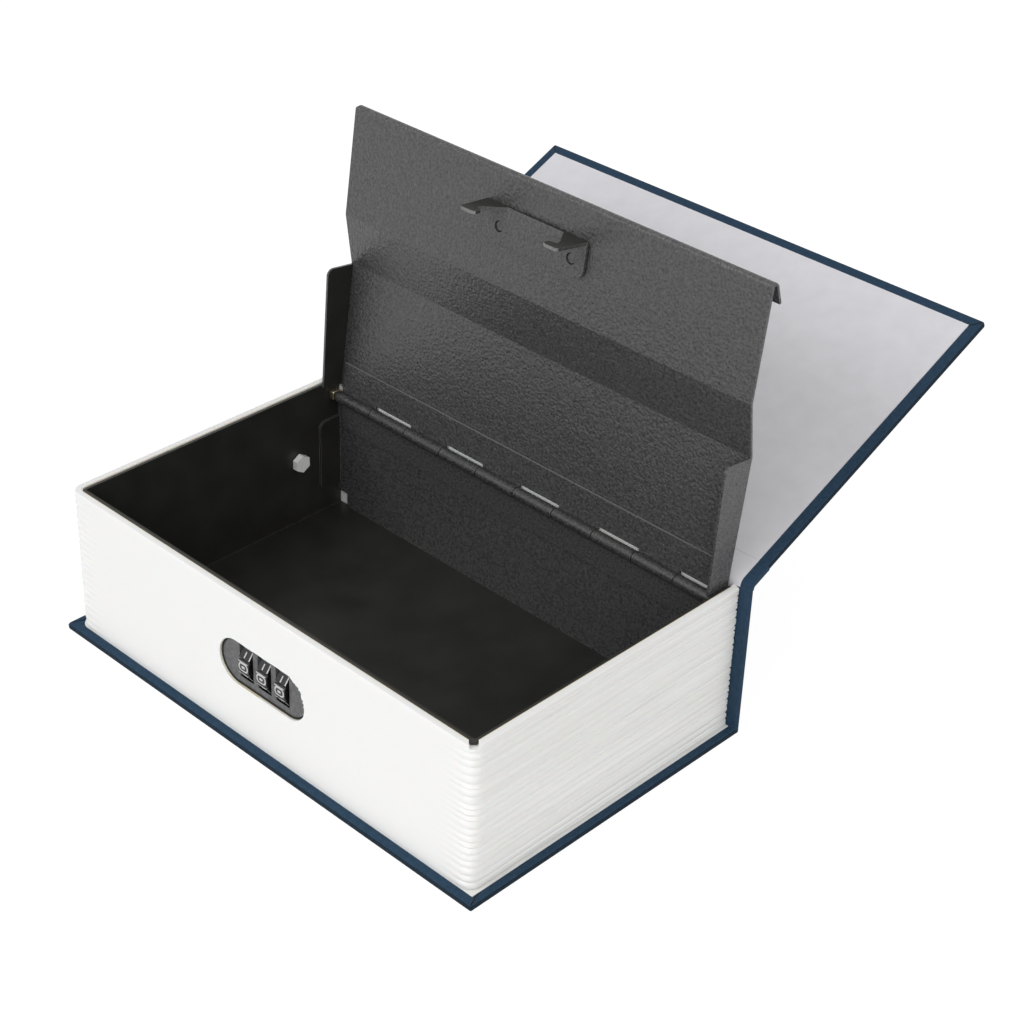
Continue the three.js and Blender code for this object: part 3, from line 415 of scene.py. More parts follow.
cadMaterials = {
    "lower_board": greyBoard, "spine_board": greyBoard, "upper_board": greyBoard,
    "upper_endpaper": endPaper,
    "code_cam_1": plainSteel, "code_cam_2": plainSteel, "code_cam_3": plainSteel,
    "dial_spindle": plainSteel, "detent_spring": plainSteel, "catch_plate": plainSteel,
    "reset_slider": lockPlastic, "hinge_pin": zincPlate,
    "lock_screw_1": screwSteel, "lock_screw_2": screwSteel,
    "side_screw_head": brightPaintedScrew, "side_screw_tail": brightPaintedScrew,
    "lock_case": lockPlastic,
}
for node, material in cadMaterials.items():
    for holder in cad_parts[node].material_slots:
        holder.material = material
print("materials on the plain nodes")


def copyNode(node, name):
    # A copy of a node's mesh, left in edit mode with its corners joined and picked
    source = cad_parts[node]
    piece = source.copy()
    piece.data = source.data.copy()
    bpy.context.scene.collection.objects.link(piece)
    piece.parent = None
    editWhole(nameIt(piece, name))
    bpy.ops.mesh.remove_doubles(threshold=0.00001)
    return piece


# Bent and stamped parts keep the shape of the frame, with edges eased as tumbling and paint ease them
def easedCopy(node, name, body, slot, material, ease):
    piece = copyNode(node, name)
    bpy.ops.mesh.dissolve_limited(angle_limit=deg(0.5))
    endEdit()
    # The eased edges take the second material, which needs its slot before they are made
    # The second material is a painted highlight along the eased edges
    highlit = 1 if isinstance(material, tuple) else -1
    piece.data.materials.append(hammered)
    applyModifier(piece, "BEVEL", width=ease / 1000, segments=2, limit_method="ANGLE",
                  angle_limit=deg(40), use_clamp_overlap=True, material=highlit)
    smoothByAngle(piece, 35)
    applyModifier(piece, "WEIGHTED_NORMAL", keep_sharp=True)
    finishPiece(piece, body, slot, material, node)


# Materials of each part: the whole, its eased edges, and those that are painted on below
boxPaints = (powderCoat, edgeHighlightCoat, hammered, edgeHighlightEnamel, hemShadeCoat)
leafPaints = (hammered, edgeHighlightEnamel, dullEnamel)
lidPaints = (hammered, edgeHighlightEnamel, smoothEnamel, powderCoat)
bracketPaints = (hammered, edgeHighlightEnamel, powderCoat, edgeGlintGrey)
easedParts = [
    ("box_body", "steelBox", "book_and_box", "black_steel", boxPaints, 0.18),
    ("hinge_box_leaf", "hingeBoxLeaf", "book_and_box", "hammered", leafPaints, 0.1),
    ("hinge_lid_leaf", "hingeLidLeaf", "lid", "hammered", leafPaints + (edgeGlintGrey,), 0.3),
    ("lid_panel", "lidPanel", "lid", "hammered", lidPaints, 0.16),
    ("latch_bracket", "latchBracket", "lid", "hammered", bracketPaints, 0.14),
    ("bracket_rivet_1", "bracketRivetHead", "lid", "hammered", hammered, 0.08),
    ("bracket_rivet_2", "bracketRivetTail", "lid", "hammered", hammered, 0.08),
    ("lock_face", "lockFace", "book_and_box", "lock_face", castGrey, 0.12),
    ("dial_1", "dialLeft", "dial_left", "dial", dialPlastic, 0.1),
    ("dial_2", "dialMiddle", "dial_middle", "dial", dialPlastic, 0.1),
    ("dial_3", "dialRight", "dial_right", "dial", dialPlastic, 0.1),
]
for part in easedParts:
    easedCopy(*part)


def paintWhere(name, place, test):
    piece = bpy.data.objects[name]
    choose(piece, "FACE", test)
    paintPicked(piece, place)
    endEdit()


hingeLine = {"y": 50.8, "z": 47.6, "knuckle": 2.05}


def onKnuckle(c, n):
    return math.hypot(c.y - hingeLine["y"], c.z - hingeLine["z"]) < hingeLine["knuckle"]


# The back wall of the box has the hammered enamel of the lid
paintWhere("steelBox", 2, lambda c, n: n.y < -0.9 and c.y > 53)
# The hem in front gets the hem coat, with its painted shade and painted highlight
paintWhere("steelBox", 4, lambda c, n: c.z > 52.2 and c.y < -50.2 and (n.z > 0.9 or c.y < -51))
# The edges of the welded tab get a painted highlight
paintWhere("steelBox", 3, lambda c, n: c.x < -83.4 and 44 < c.y < 53.2 and 11.5 < c.z < 39
           and 0.2 < abs(n.x) < 0.95)
# Paint lies thin and dull on the knuckles
paintWhere("hingeBoxLeaf", 2, onKnuckle)
paintWhere("hingeLidLeaf", 2, onKnuckle)
# The top edge of the leaf gets a painted highlight, a thin light line
paintWhere("hingeLidLeaf", 3, lambda c, n: n.z > 0.9 and c.z > 59)
# One flange of the lid is brushed smooth; the inner face of the other is painted near-black, as painted
# shade
paintWhere("lidPanel", 2, lambda c, n: n.x < -0.9 and c.x > 80)
paintWhere("lidPanel", 3, lambda c, n: n.x > 0.9 and -84.2 < c.x < -80)
# The hooks are dark, and their ends get a painted reflection of the white floor
paintWhere("latchBracket", 2, lambda c, n: n.z > 0.9 and c.y < 56.5)
paintWhere("latchBracket", 3, lambda c, n: n.y < -0.5 and c.y < 50)
print("steel parts eased")


def makeCatchSpring():
    piece = copyNode("catch_spring", "catchSpringCoil")
    endEdit()
    smoothByAngle(piece, 50)
    finishPiece(piece, "book_and_box", "steel", plainSteel, "catch_spring")
    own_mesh(piece)


makeCatchSpring()

# Page block: a moulded ring whose outside copies the edges of the pages
pageBlock = {
    "half": 88.2, "fore": -54.4, "back": 55.3, "bottom": 2.35, "top": 52.8,
    "cornerRadius": 4, "spineRadius": 0.8, "topRound": 0.4,
    "ridges": 21, "ridgeDepth": 0.6, "ridgeSeed": 11, "plainTop": 1,
    "ridgeForm": ((0, 1), (0.2, 0.45), (0.5, 0), (0.8, 0.4)),
    "columns": (-82, -79, -76, -66, -52, -34, -14, 8, 28, 48, 64, 76, 79, 82),
    "rows": (-46, -36, -22, -8, 6, 20, 34, 46),
    "shares": ((84.3, 100, 1), (83, 84.3, 0.75), (81, 83, 0.5), (78, 81, 0.22)),
    "branches": 10, "branchSeed": 5, "branchStarts": (-40, -26, -12, 2, 16),
    "branchForm": ((1, -0.12), (2, 0.42), (3, -0.12)),
    "bead": 0.5, "uneven": 0.07,
    "ledgeHalf": 84.4, "ledgeFore": 53.35, "ledgeBottom": 47.8, "rimLine": 0.28,
    "innerHalf": 85.8, "innerFore": -52.2, "innerBack": 54.15, "innerRadius": 2.1,
    "webTop": 49.4, "webHalf": 85.55, "webFore": 53.1,
    "lockX": 1.5, "lockZ": 28.8, "lockLength": 38, "lockHeight": 15.6,
    "skin": 0.5, "torn": 13, "tornShift": (-0.0006, 0, -0.0002), "teeth": 0.6,
    "screwX": 85.3, "screwY": 35.1, "screwZ": 27, "screwHole": 3.6, "screwDepth": 4,
    "notchX": 85.8, "notchY": -52.2, "notchWidth": 2.6, "notchDepth": 1.3,
}


def ridgeLevels(made):
    # Ridges of uneven height, each with a groove below it and rounded shoulders
    chance = random.Random(made["ridgeSeed"])
    parts = [chance.uniform(0.75, 1.25) for _ in range(made["ridges"])]
    pitch = (made["top"] - made["plainTop"] - made["bottom"]) / sum(parts)
    z = made["bottom"]
    found = []
    for part in parts:
        height = part * pitch
        depth = made["ridgeDepth"] * chance.uniform(0.7, 1)
        found += [(z + height * up, depth * share) for up, share in made["ridgeForm"]]
        z += height
    return found


def splitRidges(piece, found):
    # Some ridges fork towards the spine, where the edges of the pages lie closer
    made = pageBlock
    chance = random.Random(made["branchSeed"])
    for ridge in chance.sample(range(made["ridges"]), made["branches"]):
        begin = chance.choice(made["branchStarts"])
        for level, push in made["branchForm"]:
            z = found[ridge * 4 + level][0]
            for side in (-1, 1):
                choose(piece, "VERT", lambda v: v.x * side > made["half"] - 1.5 and abs(v.z - z) < 0.16
                       and begin < v.y < made["back"] - 0.3)
                bpy.ops.transform.translate(value=(-side * push / 1000, 0, 0))


def makePageBlock():
    made = pageBlock
    half, fore, back = made["half"], made["fore"], made["back"]
    bottom, top = made["bottom"], made["top"]
    piece = addBlock("pageBlock", (-half, fore, bottom), (half, back, top))
    choose(piece, "EDGE", lambda a, b: abs(a.z - b.z) > 10 and a.y < 0)
    bevelPicked(made["cornerRadius"], 8)
    choose(piece, "EDGE", lambda a, b: abs(a.z - b.z) > 10 and a.y > back - 0.01)
    bevelPicked(made["spineRadius"], 3)
    choose(piece, "EDGE", lambda a, b: min(a.z, b.z) > top - 0.01 and min(a.y, b.y) < back - 0.01)
    bevelPicked(made["topRound"], 3)
    for x in made["columns"]:
        sliceAt(0, x)
    for y in made["rows"]:
        sliceAt(1, y)
    found = ridgeLevels(made)
    for z, _ in found[1:]:
        sliceAt(2, z)
    # The ridges are deep on the ends and fade out past the corners, so that the fore-edge is smooth
    for z, depth in found:
        for near, far, share in made["shares"]:
            if depth:
                choose(piece, "VERT", lambda v: abs(v.z - z) < 0.01 and v.y < back - 0.3
                       and near <= abs(v.x) < far)
                bpy.ops.transform.shrink_fatten(value=-depth * share / 1000)
        # The grooves end deep at the spine, so that its outline is a row of beads
        if depth > 0.3:
            choose(piece, "VERT", lambda v: abs(v.z - z) < 0.16 and v.y > back - 2.4
                   and abs(v.x) > half - 1.5)
            bpy.ops.transform.shrink_fatten(value=-made["bead"] / 1000)
    splitRidges(piece, found)
    choose(piece, "VERT", lambda v: half - abs(v.x) < 3 and bottom + 0.5 < v.z < top - 0.5)
    bpy.ops.transform.vertex_random(offset=made["uneven"] / 1000, normal=1, seed=4)
    endEdit()
    return piece


def roundedCutter(name, low, high, radius, rounded, segments=6, material=pageEdges):
    cutter = addBlock(name, low, high)
    choose(cutter, "EDGE", rounded)
    bevelPicked(radius, segments)
    endEdit()
    cutter.data.materials.append(material)
    return cutter


def skinCutter():
    # The skin of the moulding is cut through along the rim, where its core shows as a cream line
    made = pageBlock
    line = made["rimLine"]
    low = (-made["innerHalf"] - line, made["innerFore"] - line, made["top"] - 0.06)
    high = (made["innerHalf"] + line, made["innerBack"], 60)
    return roundedCutter("rimSkin", low, high, made["innerRadius"] + line,
                         lambda a, b: abs(a.z - b.z) > 4 and a.y < 0, material=cutEdge)


def innerCutter():
    made = pageBlock
    low = (-made["innerHalf"], made["innerFore"], 0)
    high = (made["innerHalf"], made["innerBack"], 60)
    return roundedCutter("innerCut", low, high, made["innerRadius"],
                         lambda a, b: abs(a.z - b.z) > 10 and a.y < 0)


def webCutter():
    # The low back is a web, so that the lid can lie back over it
    made = pageBlock
    low = (-made["webHalf"], made["webFore"], made["webTop"])
    return roundedCutter("webCut", low, (made["webHalf"], 60, 60), 0.3,
                         lambda a, b: abs(a.y - b.y) > 3 and a.z < 50)


def ovalCutter(name, back, segments, material):
    # A long oval through the front wall, as large as the opening for the lock
    made = pageBlock
    reach = made["lockLength"] / 2
    tall = made["lockHeight"] / 2
    low = (made["lockX"] - reach, -60, made["lockZ"] - tall)
    high = (made["lockX"] + reach, back, made["lockZ"] + tall)
    return roundedCutter(name, low, high, tall - 0.01, lambda a, b: abs(a.y - b.y) > 4, segments, material)


def lockCutter():
    # It spares the skin over the tail half, where the torn lip is cut instead
    made = pageBlock
    cutter = ovalCutter("lockCut", -50, 16, cutEdge)
    behind = addBlock("behindLip", (0, made["fore"], 0), (60, made["fore"] + made["skin"], 60))
    applyModifier(cutter, "BOOLEAN", operation="DIFFERENCE", solver="EXACT", object=behind)
    bpy.data.objects.remove(behind)
    return cutter


def lipCutter():
    # The skin in front is torn at the tail end rather than cut, and overlaps the plate there
    made = pageBlock
    back = made["fore"] + made["skin"]
    cutter = ovalCutter("lipCut", back, 22, pageEdges)
    choose(cutter, "VERT", lambda v: v.x > made["lockX"] + made["torn"] and v.z > made["lockZ"] - 3)
    bpy.ops.transform.translate(value=made["tornShift"])
    bpy.ops.transform.vertex_random(offset=made["teeth"] / 1000, uniform=0.6, seed=7)
    # Both ends of the cutter are made flat again
    for plane in (-60, back):
        choose(cutter, "VERT", lambda v: abs(v.y - plane) < 2)
        bpy.ops.transform.resize(value=(1, 0, 1), center_override=(0, plane / 1000, 0))
    endEdit()
    return cutter


def cutScrewHoles(piece):
    made = pageBlock
    for side in (-1, 1):
        clearPick()
        place = (side * made["screwX"] / 1000, made["screwY"] / 1000, made["screwZ"] / 1000)
        bpy.ops.mesh.primitive_cylinder_add(vertices=24, radius=made["screwHole"] / 2000,
                                            depth=made["screwDepth"] / 1000, location=place,
                                            rotation=(0, deg(90), 0))
        bpy.ops.object.transform_apply(location=True, rotation=True, scale=True)
        cutAway(piece, nameIt(bpy.context.object, "screwCut"))


def cutCornerNotch(piece):
    # The corner of the box stands in a notch of the rim
    made = pageBlock
    clearPick()
    place = [made["notchX"] / 1000, made["notchY"] / 1000, (made["top"] - made["notchDepth"] + 3) / 1000]
    bpy.ops.mesh.primitive_cube_add(size=1, rotation=(0, 0, deg(45)), location=place,
                                    scale=(made["notchWidth"] / 1000, 0.0042, 0.006))
    bpy.ops.object.transform_apply(location=True, rotation=True, scale=True)
    cutAway(piece, nameIt(bpy.context.object, "notchCut"))


def addLedge(piece):
    # A ledge of the low back covers the top of the steel wall
    made = pageBlock
    ledge = addBlock("ledge", (-made["ledgeHalf"], made["ledgeFore"], made["ledgeBottom"]),
                     (made["ledgeHalf"], made["innerBack"] + 0.5, made["webTop"]))
    applyModifier(piece, "BOOLEAN", operation="UNION", solver="EXACT", object=ledge)
    bpy.data.objects.remove(ledge)


def openPageBlock(piece):
    piece.data.materials.append(pageEdges)
    cutAway(piece, skinCutter(), innerCutter(), webCutter(), lockCutter(), lipCutter())
    cutScrewHoles(piece)
    cutCornerNotch(piece)
    addLedge(piece)
    wear(piece, pageEdges, cutEdge)
    smoothByAngle(piece, 38)
    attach(piece, "book_and_box")
    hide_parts("page_block")


openPageBlock(makePageBlock())
print("page block made")

# Case: cloth wrapped round the lower board and the spine board
caseCloth = {"half": 91.5, "fore": -57.5, "spine": 57.5, "thick": 2, "height": 53, "round": 0.6,
             "cloth": 0.25, "turnIn": 12, "headCorner": 1.2, "creaseTurn": -66, "creaseFromEnd": 1.7,
             "creaseFromFore": 3.5}


def creaseCutter(x, y, z, turn, length=8, width=0.4):
    # A groove where two turned-in edges of the cloth meet at a corner
    clearPick()
    bpy.ops.mesh.primitive_cube_add(size=1, scale=(length / 1000, width / 1000, width / 1000),
                                    rotation=(deg(45), 0, 0))
    bpy.ops.object.transform_apply(location=True, rotation=True, scale=True)
    cutter = nameIt(bpy.context.object, "creaseCut")
    cutter.rotation_euler = (0, 0, deg(turn))
    cutter.location = (x / 1000, y / 1000, z / 1000)
    bpy.ops.object.transform_apply(location=True, rotation=True, scale=True)
    # The groove is lined with the darker cloth: painted shade in the crease
    cutter.data.materials.append(shadedBookCloth)
    return cutter


def darkenEdges(piece, test):
    # Painted shade: the cloth is drawn darker on the edge faces of a board, where less light falls
    piece.data.materials.append(bookCloth)
    piece.data.materials.append(shadedBookCloth)
    choose(piece, "FACE", test)
    paintPicked(piece, 1)
    endEdit()


def makeCaseCloth():
    made = caseCloth
    half, fore, spine, thick = made["half"], made["fore"], made["spine"], made["thick"]
    piece = addBlock("caseCloth", (-half, fore, 0), (half, spine, thick))
    # The corner at the head is knocked rounder than the others
    choose(piece, "EDGE", lambda a, b: abs(a.z - b.z) > 1 and a.x < 0 and a.y < 0)
    bevelPicked(made["headCorner"], 4)
    sliceAt(1, spine - thick)
    choose(piece, "FACE", lambda c, n: n.z > 0.9 and c.y > spine - thick)
    rise = (0, 0, (made["height"] - thick) / 1000)
    bpy.ops.mesh.extrude_region_move(TRANSFORM_OT_translate={"value": rise})
    endEdit()
    applyModifier(piece, "BEVEL", width=made["round"] / 1000, segments=4, limit_method="ANGLE",
                  angle_limit=deg(50))
    # Painted shade on the edge faces of the lower board
    darkenEdges(piece, lambda c, n: abs(n.z) < 0.6 and c.z < thick)
    edge = made["cloth"]
    inner = half - edge
    pocket = addBlock("boardPocket", (-inner, fore + edge, edge),
                      (inner, spine - thick - edge, thick - edge))
    spinePocket = addBlock("spinePocket", (-inner, spine - thick + edge, thick + edge),
                           (inner, spine - edge, made["height"] - edge))
    bare = half - made["turnIn"]
    middle = addBlock("bareMiddle", (-bare, fore + made["turnIn"], thick - 1),
                      (bare, spine - thick - 4, thick + 1))
    creases = [creaseCutter(side * (half - made["creaseFromEnd"]), fore + made["creaseFromFore"], thick,
                            side * made["creaseTurn"]) for side in (-1, 1)]
    cutAway(piece, pocket, spinePocket, middle, *creases)
    smoothByAngle(piece, 40)
    finishPiece(piece, "book_and_box", "cloth", (bookCloth, shadedBookCloth), "case_cloth")


makeCaseCloth()

# Endpaper on the lower board, trimmed round at the head
lowerPaper = {"half": 88.9, "fore": -54.4, "back": 55.3, "bottom": 2.05, "top": 2.3,
              "corner": 4}


def makeLowerPaper():
    made = lowerPaper
    piece = addBlock("lowerEndpaper", (-made["half"], made["fore"], made["bottom"]),
                     (made["half"], made["back"], made["top"]))
    choose(piece, "EDGE", lambda a, b: abs(a.z - b.z) > 0.1 and a.x < 0 and a.y < 0)
    bevelPicked(made["corner"], 8)
    endEdit()
    finishPiece(piece, "book_and_box", "paper", whitePaper, "lower_endpaper")


makeLowerPaper()

# Upper cover: drawn closed about the fold of the cloth and then turned open
upperCover = {"half": 91.5, "far": -116.5, "near": -7, "low": -1.2, "high": 0.8, "round": 0.6,
              "cloth": 0.25, "turnIn": 12, "open": 155.9, "hingeY": 57.5, "hingeZ": 54.5,
              "tipRadius": 0.9, "creaseTurn": -45, "creaseFromTip": 1.9}


def turnOpen(piece):
    made = upperCover
    workOn(piece)
    piece.rotation_euler = (-deg(made["open"]), 0, 0)
    piece.location = (0, made["hingeY"] / 1000, made["hingeZ"] / 1000)
    bpy.ops.object.transform_apply(location=True, rotation=True, scale=True)


def makeUpperCloth():
    made = upperCover
    half, far, near, low, high = made["half"], made["far"], made["near"], made["low"], made["high"]
    piece = addBlock("upperCloth", (-half, far, low), (half, near, high))
    choose(piece, "EDGE", lambda a, b: abs(a.z - b.z) > 1 and a.y < -100 and a.x > 0)
    bevelPicked(made["tipRadius"], 4)
    # Its near edge stays square, where the cloth runs on over the joint
    choose(piece, "EDGE", lambda a, b: min(a.y, b.y) < near - 1 and (abs(a.z - b.z) < 1 or a.x < 0))
    bevelPicked(made["round"], 4)
    endEdit()
    # Painted shade on the edge faces of the upper board
    darkenEdges(piece, lambda c, n: abs(n.z) < 0.6 and c.y < near - 0.1)
    edge = made["cloth"]
    pocket = addBlock("boardPocket", (-half + edge, far + edge, low + edge),
                      (half - edge, near - edge, high - edge))
    bare = half - made["turnIn"]
    middle = addBlock("bareMiddle", (-bare, far + made["turnIn"], low - 1),
                      (bare, near - made["turnIn"], low + 1))
    reach = made["creaseFromTip"]
    creases = [creaseCutter(side * (half - reach), far + reach, low, side * made["creaseTurn"])
               for side in (-1, 1)]
    cutAway(piece, pocket, middle, *creases)
    smoothByAngle(piece, 40)
    turnOpen(piece)
    finishPiece(piece, "upper_cover", "cloth", (bookCloth, shadedBookCloth), "upper_cloth")


makeUpperCloth()

# Cloth and paper that cross the joint between the spine and the upper cover
jointFold = {"half": 91.5, "paperHalf": 87.9, "spine": 57.5, "thick": 2, "top": 53, "radius": 0.96,
             "turn": 65.9, "straight": 6.74, "paper": 0.16, "gap": 0.02, "foot": 0.4,
             "paperFoot": 3.3, "footShare": 0.97, "bendStart": (0, 0.0575, 0.053),
             "bendEnd": (0, 0.0595, 0.056)}


def foldedStrip(name, half, inner, outer, foot):
    # A strip standing on the spine that curls back to the slope of the open cover
    made = jointFold
    piece = addBlock(name, (-half, made["spine"] - inner, made["top"] - foot),
                     (half, made["spine"] - outer, made["top"]))
    choose(piece, "FACE", lambda c, n: n.z > 0.9)
    centre = (0, (made["spine"] + made["radius"]) / 1000, made["top"] / 1000)
    bpy.ops.mesh.spin(steps=10, angle=deg(made["turn"]), center=centre, axis=(1, 0, 0))
    slope = deg(90 - made["turn"])
    away = Vector((0, math.cos(slope), math.sin(slope))) * made["straight"] / 1000
    bpy.ops.mesh.extrude_region_move(TRANSFORM_OT_translate={"value": away})
    bpy.ops.mesh.select_all(action="SELECT")
    bpy.ops.mesh.remove_doubles(threshold=0.00001)
    bpy.ops.mesh.normals_make_consistent(inside=False)
    endEdit()
    return piece


def spansSheet(a, b):
    # An edge that crosses the thickness of the sheet
    return abs((a - b).length - jointFold["thick"]) < 0.02


def makeJoint():
    made = jointFold
    cloth = foldedStrip("jointCloth", made["half"], made["thick"], 0, made["foot"])
    choose(cloth, "EDGE", lambda a, b: min(abs(a.x), abs(b.x)) > made["half"] - 0.01
           and (a - b).length > 0.1 and not spansSheet(a, b))
    bevelPicked(0.5, 3)
    endEdit()
    smoothByAngle(cloth, 40)
    depth = made["thick"] + made["gap"]
    paper = foldedStrip("jointPaper", made["paperHalf"], depth + made["paper"], depth, made["paperFoot"])
    # Its foot narrows behind the rounded corners of the page block
    editWhole(paper)
    sliceAt(2, made["top"] - made["foot"])
    choose(paper, "VERT", lambda v: v.z < made["top"] - 0.3)
    bpy.ops.transform.resize(value=(made["footShare"], 1, 1), center_override=(0, 0, 0))
    endEdit()
    smoothByAngle(paper, 40)
    for piece, material, slot, node in ((cloth, bookCloth, "cloth", "cover_joint"),
                                        (paper, endPaper, "paper", "joint_endpaper")):
        piece.data.materials.clear()
        piece.data.materials.append(material)
        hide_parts(node)
        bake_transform(piece)


makeJoint()
print("book case made")

# Dial marks: in front a nought drawn as a ring, then one, then the other numbers, each in a frame.
# A mark is given by how far across and up it lies, its width, height and thickness, and its corners.
dialMarks = {
    "xs": (-6.35, 1.65, 9.65), "y": -47.7, "z": 28.8, "flat": 7, "digit": 3.2, "step": 36,
    "bodies": ("dial_left", "dial_middle", "dial_right"), "names": ("Left", "Middle", "Right"),
    "ring": (0, 0, 4.1, 3, 0.03, 1.2), "hole": (0, 0, 3.1, 2.1, 0.05, 0.8),
    "dot": (0, 0, 1.4, 0.8, 0.07, 0.3),
    "frameSide": (2.05, 0, 0.42, 2.9, 0.03), "frameTop": (-0.1, 1.68, 4.1, 0.34, 0.03),
    "one": (-0.15, -0.3, 0.45, 2, 0.03), "digitShift": -0.2,
}


def turnToPlace(piece, place):
    # Turned round the spindle from the front flat to the flat of that place
    made = dialMarks
    workOn(piece)
    bpy.ops.transform.rotate(value=deg(made["step"] * place), orient_axis="X",
                             center_override=(0, made["y"] / 1000, made["z"] / 1000))
    bpy.ops.object.transform_apply(location=True, rotation=True, scale=True)


def markPlate(x, across, up, width, height, proud, corner=0):
    # A thin plate printed on the front flat
    made = dialMarks
    front = made["y"] - made["flat"]
    plate = addBlock("mark", (x + across - width / 2, front - proud, made["z"] + up - height / 2),
                     (x + across + width / 2, front + 0.1, made["z"] + up + height / 2))
    if corner:
        choose(plate, "EDGE", lambda a, b: abs(a.y - b.y) > 0.05)
        bevelPicked(corner, 4)
        endEdit()
    return plate


def digitPlate(x, digit):
    made = dialMarks
    clearPick()
    bpy.ops.object.text_add()
    text = bpy.context.object
    text.data.body = digit
    text.data.size = made["digit"] / 1000
    text.data.align_x = "CENTER"
    text.data.align_y = "CENTER"
    text.data.extrude = 0.00005
    bpy.ops.object.convert(target="MESH")
    plate = bpy.context.object
    plate.rotation_euler = (deg(90), 0, 0)
    plate.location = (x / 1000, (made["y"] - made["flat"]) / 1000, made["z"] / 1000)
    bpy.ops.object.transform_apply(location=True, rotation=True, scale=True)
    return plate


def joinPlates(plates, name, body, material):
    clearPick()
    for plate in plates:
        plate.select_set(True)
    bpy.context.view_layer.objects.active = plates[0]
    bpy.ops.object.join()
    finishPiece(nameIt(bpy.context.object, name), body, "dial", material)


def makeDialMarks(x, body, name):
    made = dialMarks
    pale = [markPlate(x, *made["ring"]), markPlate(x, *made["dot"])]
    dark = [markPlate(x, *made["hole"])]
    for place in range(10):
        lines = [markPlate(x, *made["frameSide"])] if place else []
        lines.append(markPlate(x, *made["frameTop"]))
        if place == 1:
            lines.append(markPlate(x, *made["one"]))
        elif place:
            lines.append(digitPlate(x + made["digitShift"], str(place)))
        for line in lines:
            turnToPlace(line, place)
        pale += lines
    joinPlates(pale, "palePrint" + name, body, dialInk)
    joinPlates(dark, "blackPrint" + name, body, dialPlastic)


for x, body, name in zip(dialMarks["xs"], dialMarks["bodies"], dialMarks["names"]):
    makeDialMarks(x, body, name)
print("dials marked")

# Painted shade: a black ring that fills the gap between the lock plate and its opening, where shade falls
gapShade = {"x": 1.5, "z": 28.8, "length": 37.9, "height": 15.5, "inner": 0.62, "shift": 0.2,
          "front": -53.68, "back": -52.5}


def ovalBlock(name, shrink, front, back, shift=0):
    made = gapShade
    reach = made["length"] / 2 - shrink
    tall = made["height"] / 2 - shrink
    x, z = made["x"] + shift, made["z"] + shift
    piece = addBlock(name, (x - reach, front, z - tall), (x + reach, back, z + tall))
    choose(piece, "EDGE", lambda a, b: abs(a.y - b.y) > 0.5)
    bevelPicked(tall - 0.01, 16)
    endEdit()
    return piece


ring = ovalBlock("lockGasket", 0, gapShade["front"], gapShade["back"])
cutAway(ring, ovalBlock("gasketCut", gapShade["inner"], gapShade["front"] - 1, gapShade["back"] + 1,
                        gapShade["shift"]))
smoothByAngle(ring)
finishPiece(ring, "book_and_box", "lock_body", gapShadeBlack)
print("gasket made")

# Head of the hinge pin: a square plated stub that stops the pin at the head end
pinStub = {"low": (-84.7, 49, 46.2), "high": (-82.5, 52.3, 49.4), "round": 0.4}
pinHead = addBlock("hingePinHead", pinStub["low"], pinStub["high"])
applyModifier(pinHead, "BEVEL", width=pinStub["round"] / 1000, segments=3)
smoothByAngle(pinHead)
finishPiece(pinHead, "book_and_box", "zinc", zincPlate)
print("pin head made")

# Studio: pale floor, white surroundings and soft lamps
studio = {"floorSize": 6, "floorColour": "#f2f2f2", "floorGlow": 1.15, "floorShare": 0.8,
          "aim": (0, 0, 0.05)}
lamps = {
    "foreLamp": ((-0.4, -1.15, 1.0), 0.9, 7.4, (1, 1, 1)),
    "overheadLamp": ((0.1, 0.1, 1.5), 1.2, 0.9, (1, 1, 1)),
    "tailLamp": ((1.15, -0.8, 0.85), 0.9, 7.2, (1, 0.985, 0.96)),
}


def seenRays(tree):
    # 1 for rays from the camera, by mirroring or through glass, and 0 for those that only carry light
    ray = addNode(tree, "LightPath")
    found = ray.outputs["Is Camera Ray"]
    for kind in ("Is Glossy Ray", "Is Transmission Ray"):
        links = {0: found, 1: ray.outputs[kind]}
        found = addNode(tree, "Math", links=links, operation="MAXIMUM").outputs[0]
    return found


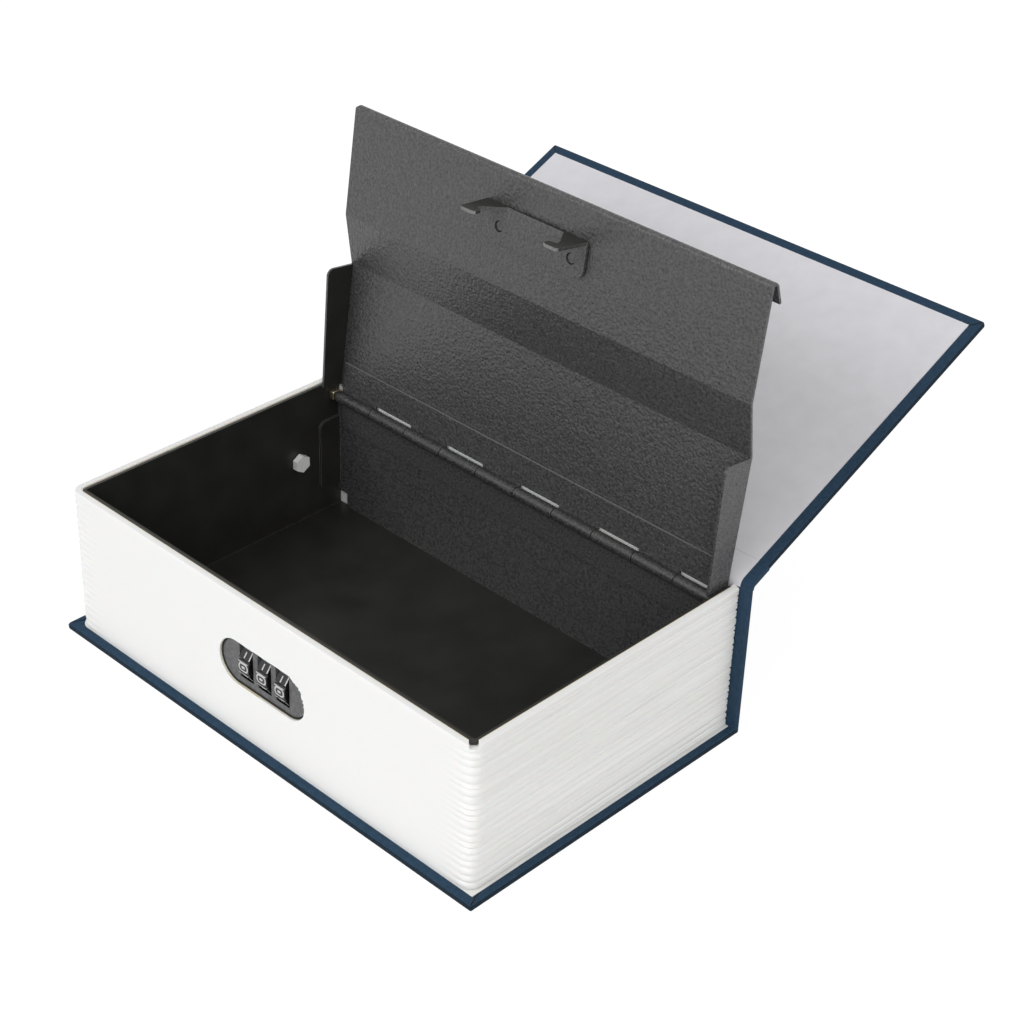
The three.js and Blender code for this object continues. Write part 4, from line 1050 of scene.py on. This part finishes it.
def makeFloorMaterial():
    made = bpy.data.materials.new("paleStudioFloor")
    made.use_nodes = True
    tree = made.node_tree
    shader = tree.nodes["Principled BSDF"]
    shader.inputs["Base Color"].default_value = toLinear(studio["floorColour"])
    shader.inputs["Roughness"].default_value = 0.9
    share = addNode(tree, "Math", {1: studio["floorShare"]}, {0: seenRays(tree)}, operation="MULTIPLY")
    white = addNode(tree, "Emission", {"Color": (1, 1, 1, 1), "Strength": studio["floorGlow"]})
    mixed = addNode(tree, "MixShader", links={0: share.outputs[0], 1: shader.outputs[0],
                                              2: white.outputs[0]})
    tree.links.new(mixed.outputs[0], tree.nodes["Material Output"].inputs["Surface"])
    return made


def makeStudio():
    clearPick()
    bpy.ops.mesh.primitive_plane_add(size=studio["floorSize"])
    floor = nameIt(bpy.context.object, "studioFloor")
    floor.data.materials.append(makeFloorMaterial())
    world = bpy.data.worlds.new("paleStudio")
    bpy.context.scene.world = world
    world.use_nodes = True
    tree = world.node_tree
    back = tree.nodes["Background"]
    tree.links.new(levels(tree, seenRays(tree), 0.5, 1), back.inputs["Strength"])
    back.inputs["Color"].default_value = (1, 1, 1, 1)


def addLamp(name, place, size, power, colour):
    clearPick()
    bpy.ops.object.light_add(type="AREA", location=place)
    lamp = bpy.context.object
    lamp.name = name
    lamp.data.shape = "DISK"
    lamp.data.size = size
    lamp.data.energy = power
    lamp.data.color = colour
    away = Vector(studio["aim"]) - Vector(place)
    lamp.rotation_euler = away.to_track_quat("-Z", "Y").to_euler()


makeStudio()
for name, settings in lamps.items():
    addLamp(name, *settings)

# Camera where the photograph was taken from
camera = {"place": (0.4092, -0.3853, 0.4216), "right": (0.7152, 0.6982, 0.0307),
          "up": (-0.3947, 0.3672, 0.8423), "forward": (-0.5768, 0.6145, -0.5382), "lens": 78.81,
          "sensor": 36, "nearest": 0.01}


def makeCamera():
    clearPick()
    bpy.ops.object.camera_add(location=camera["place"])
    made = bpy.context.object
    right, up, forward = (Vector(camera[side]).normalized() for side in ("right", "up", "forward"))
    made.rotation_euler = Matrix((right, up, -forward)).transposed().to_euler()
    made.data.lens = camera["lens"]
    made.data.sensor_width = camera["sensor"]
    made.data.clip_start = camera["nearest"]
    bpy.context.scene.camera = made


makeCamera()
bpy.context.scene.view_settings.view_transform = "Standard"
print("studio and camera made")
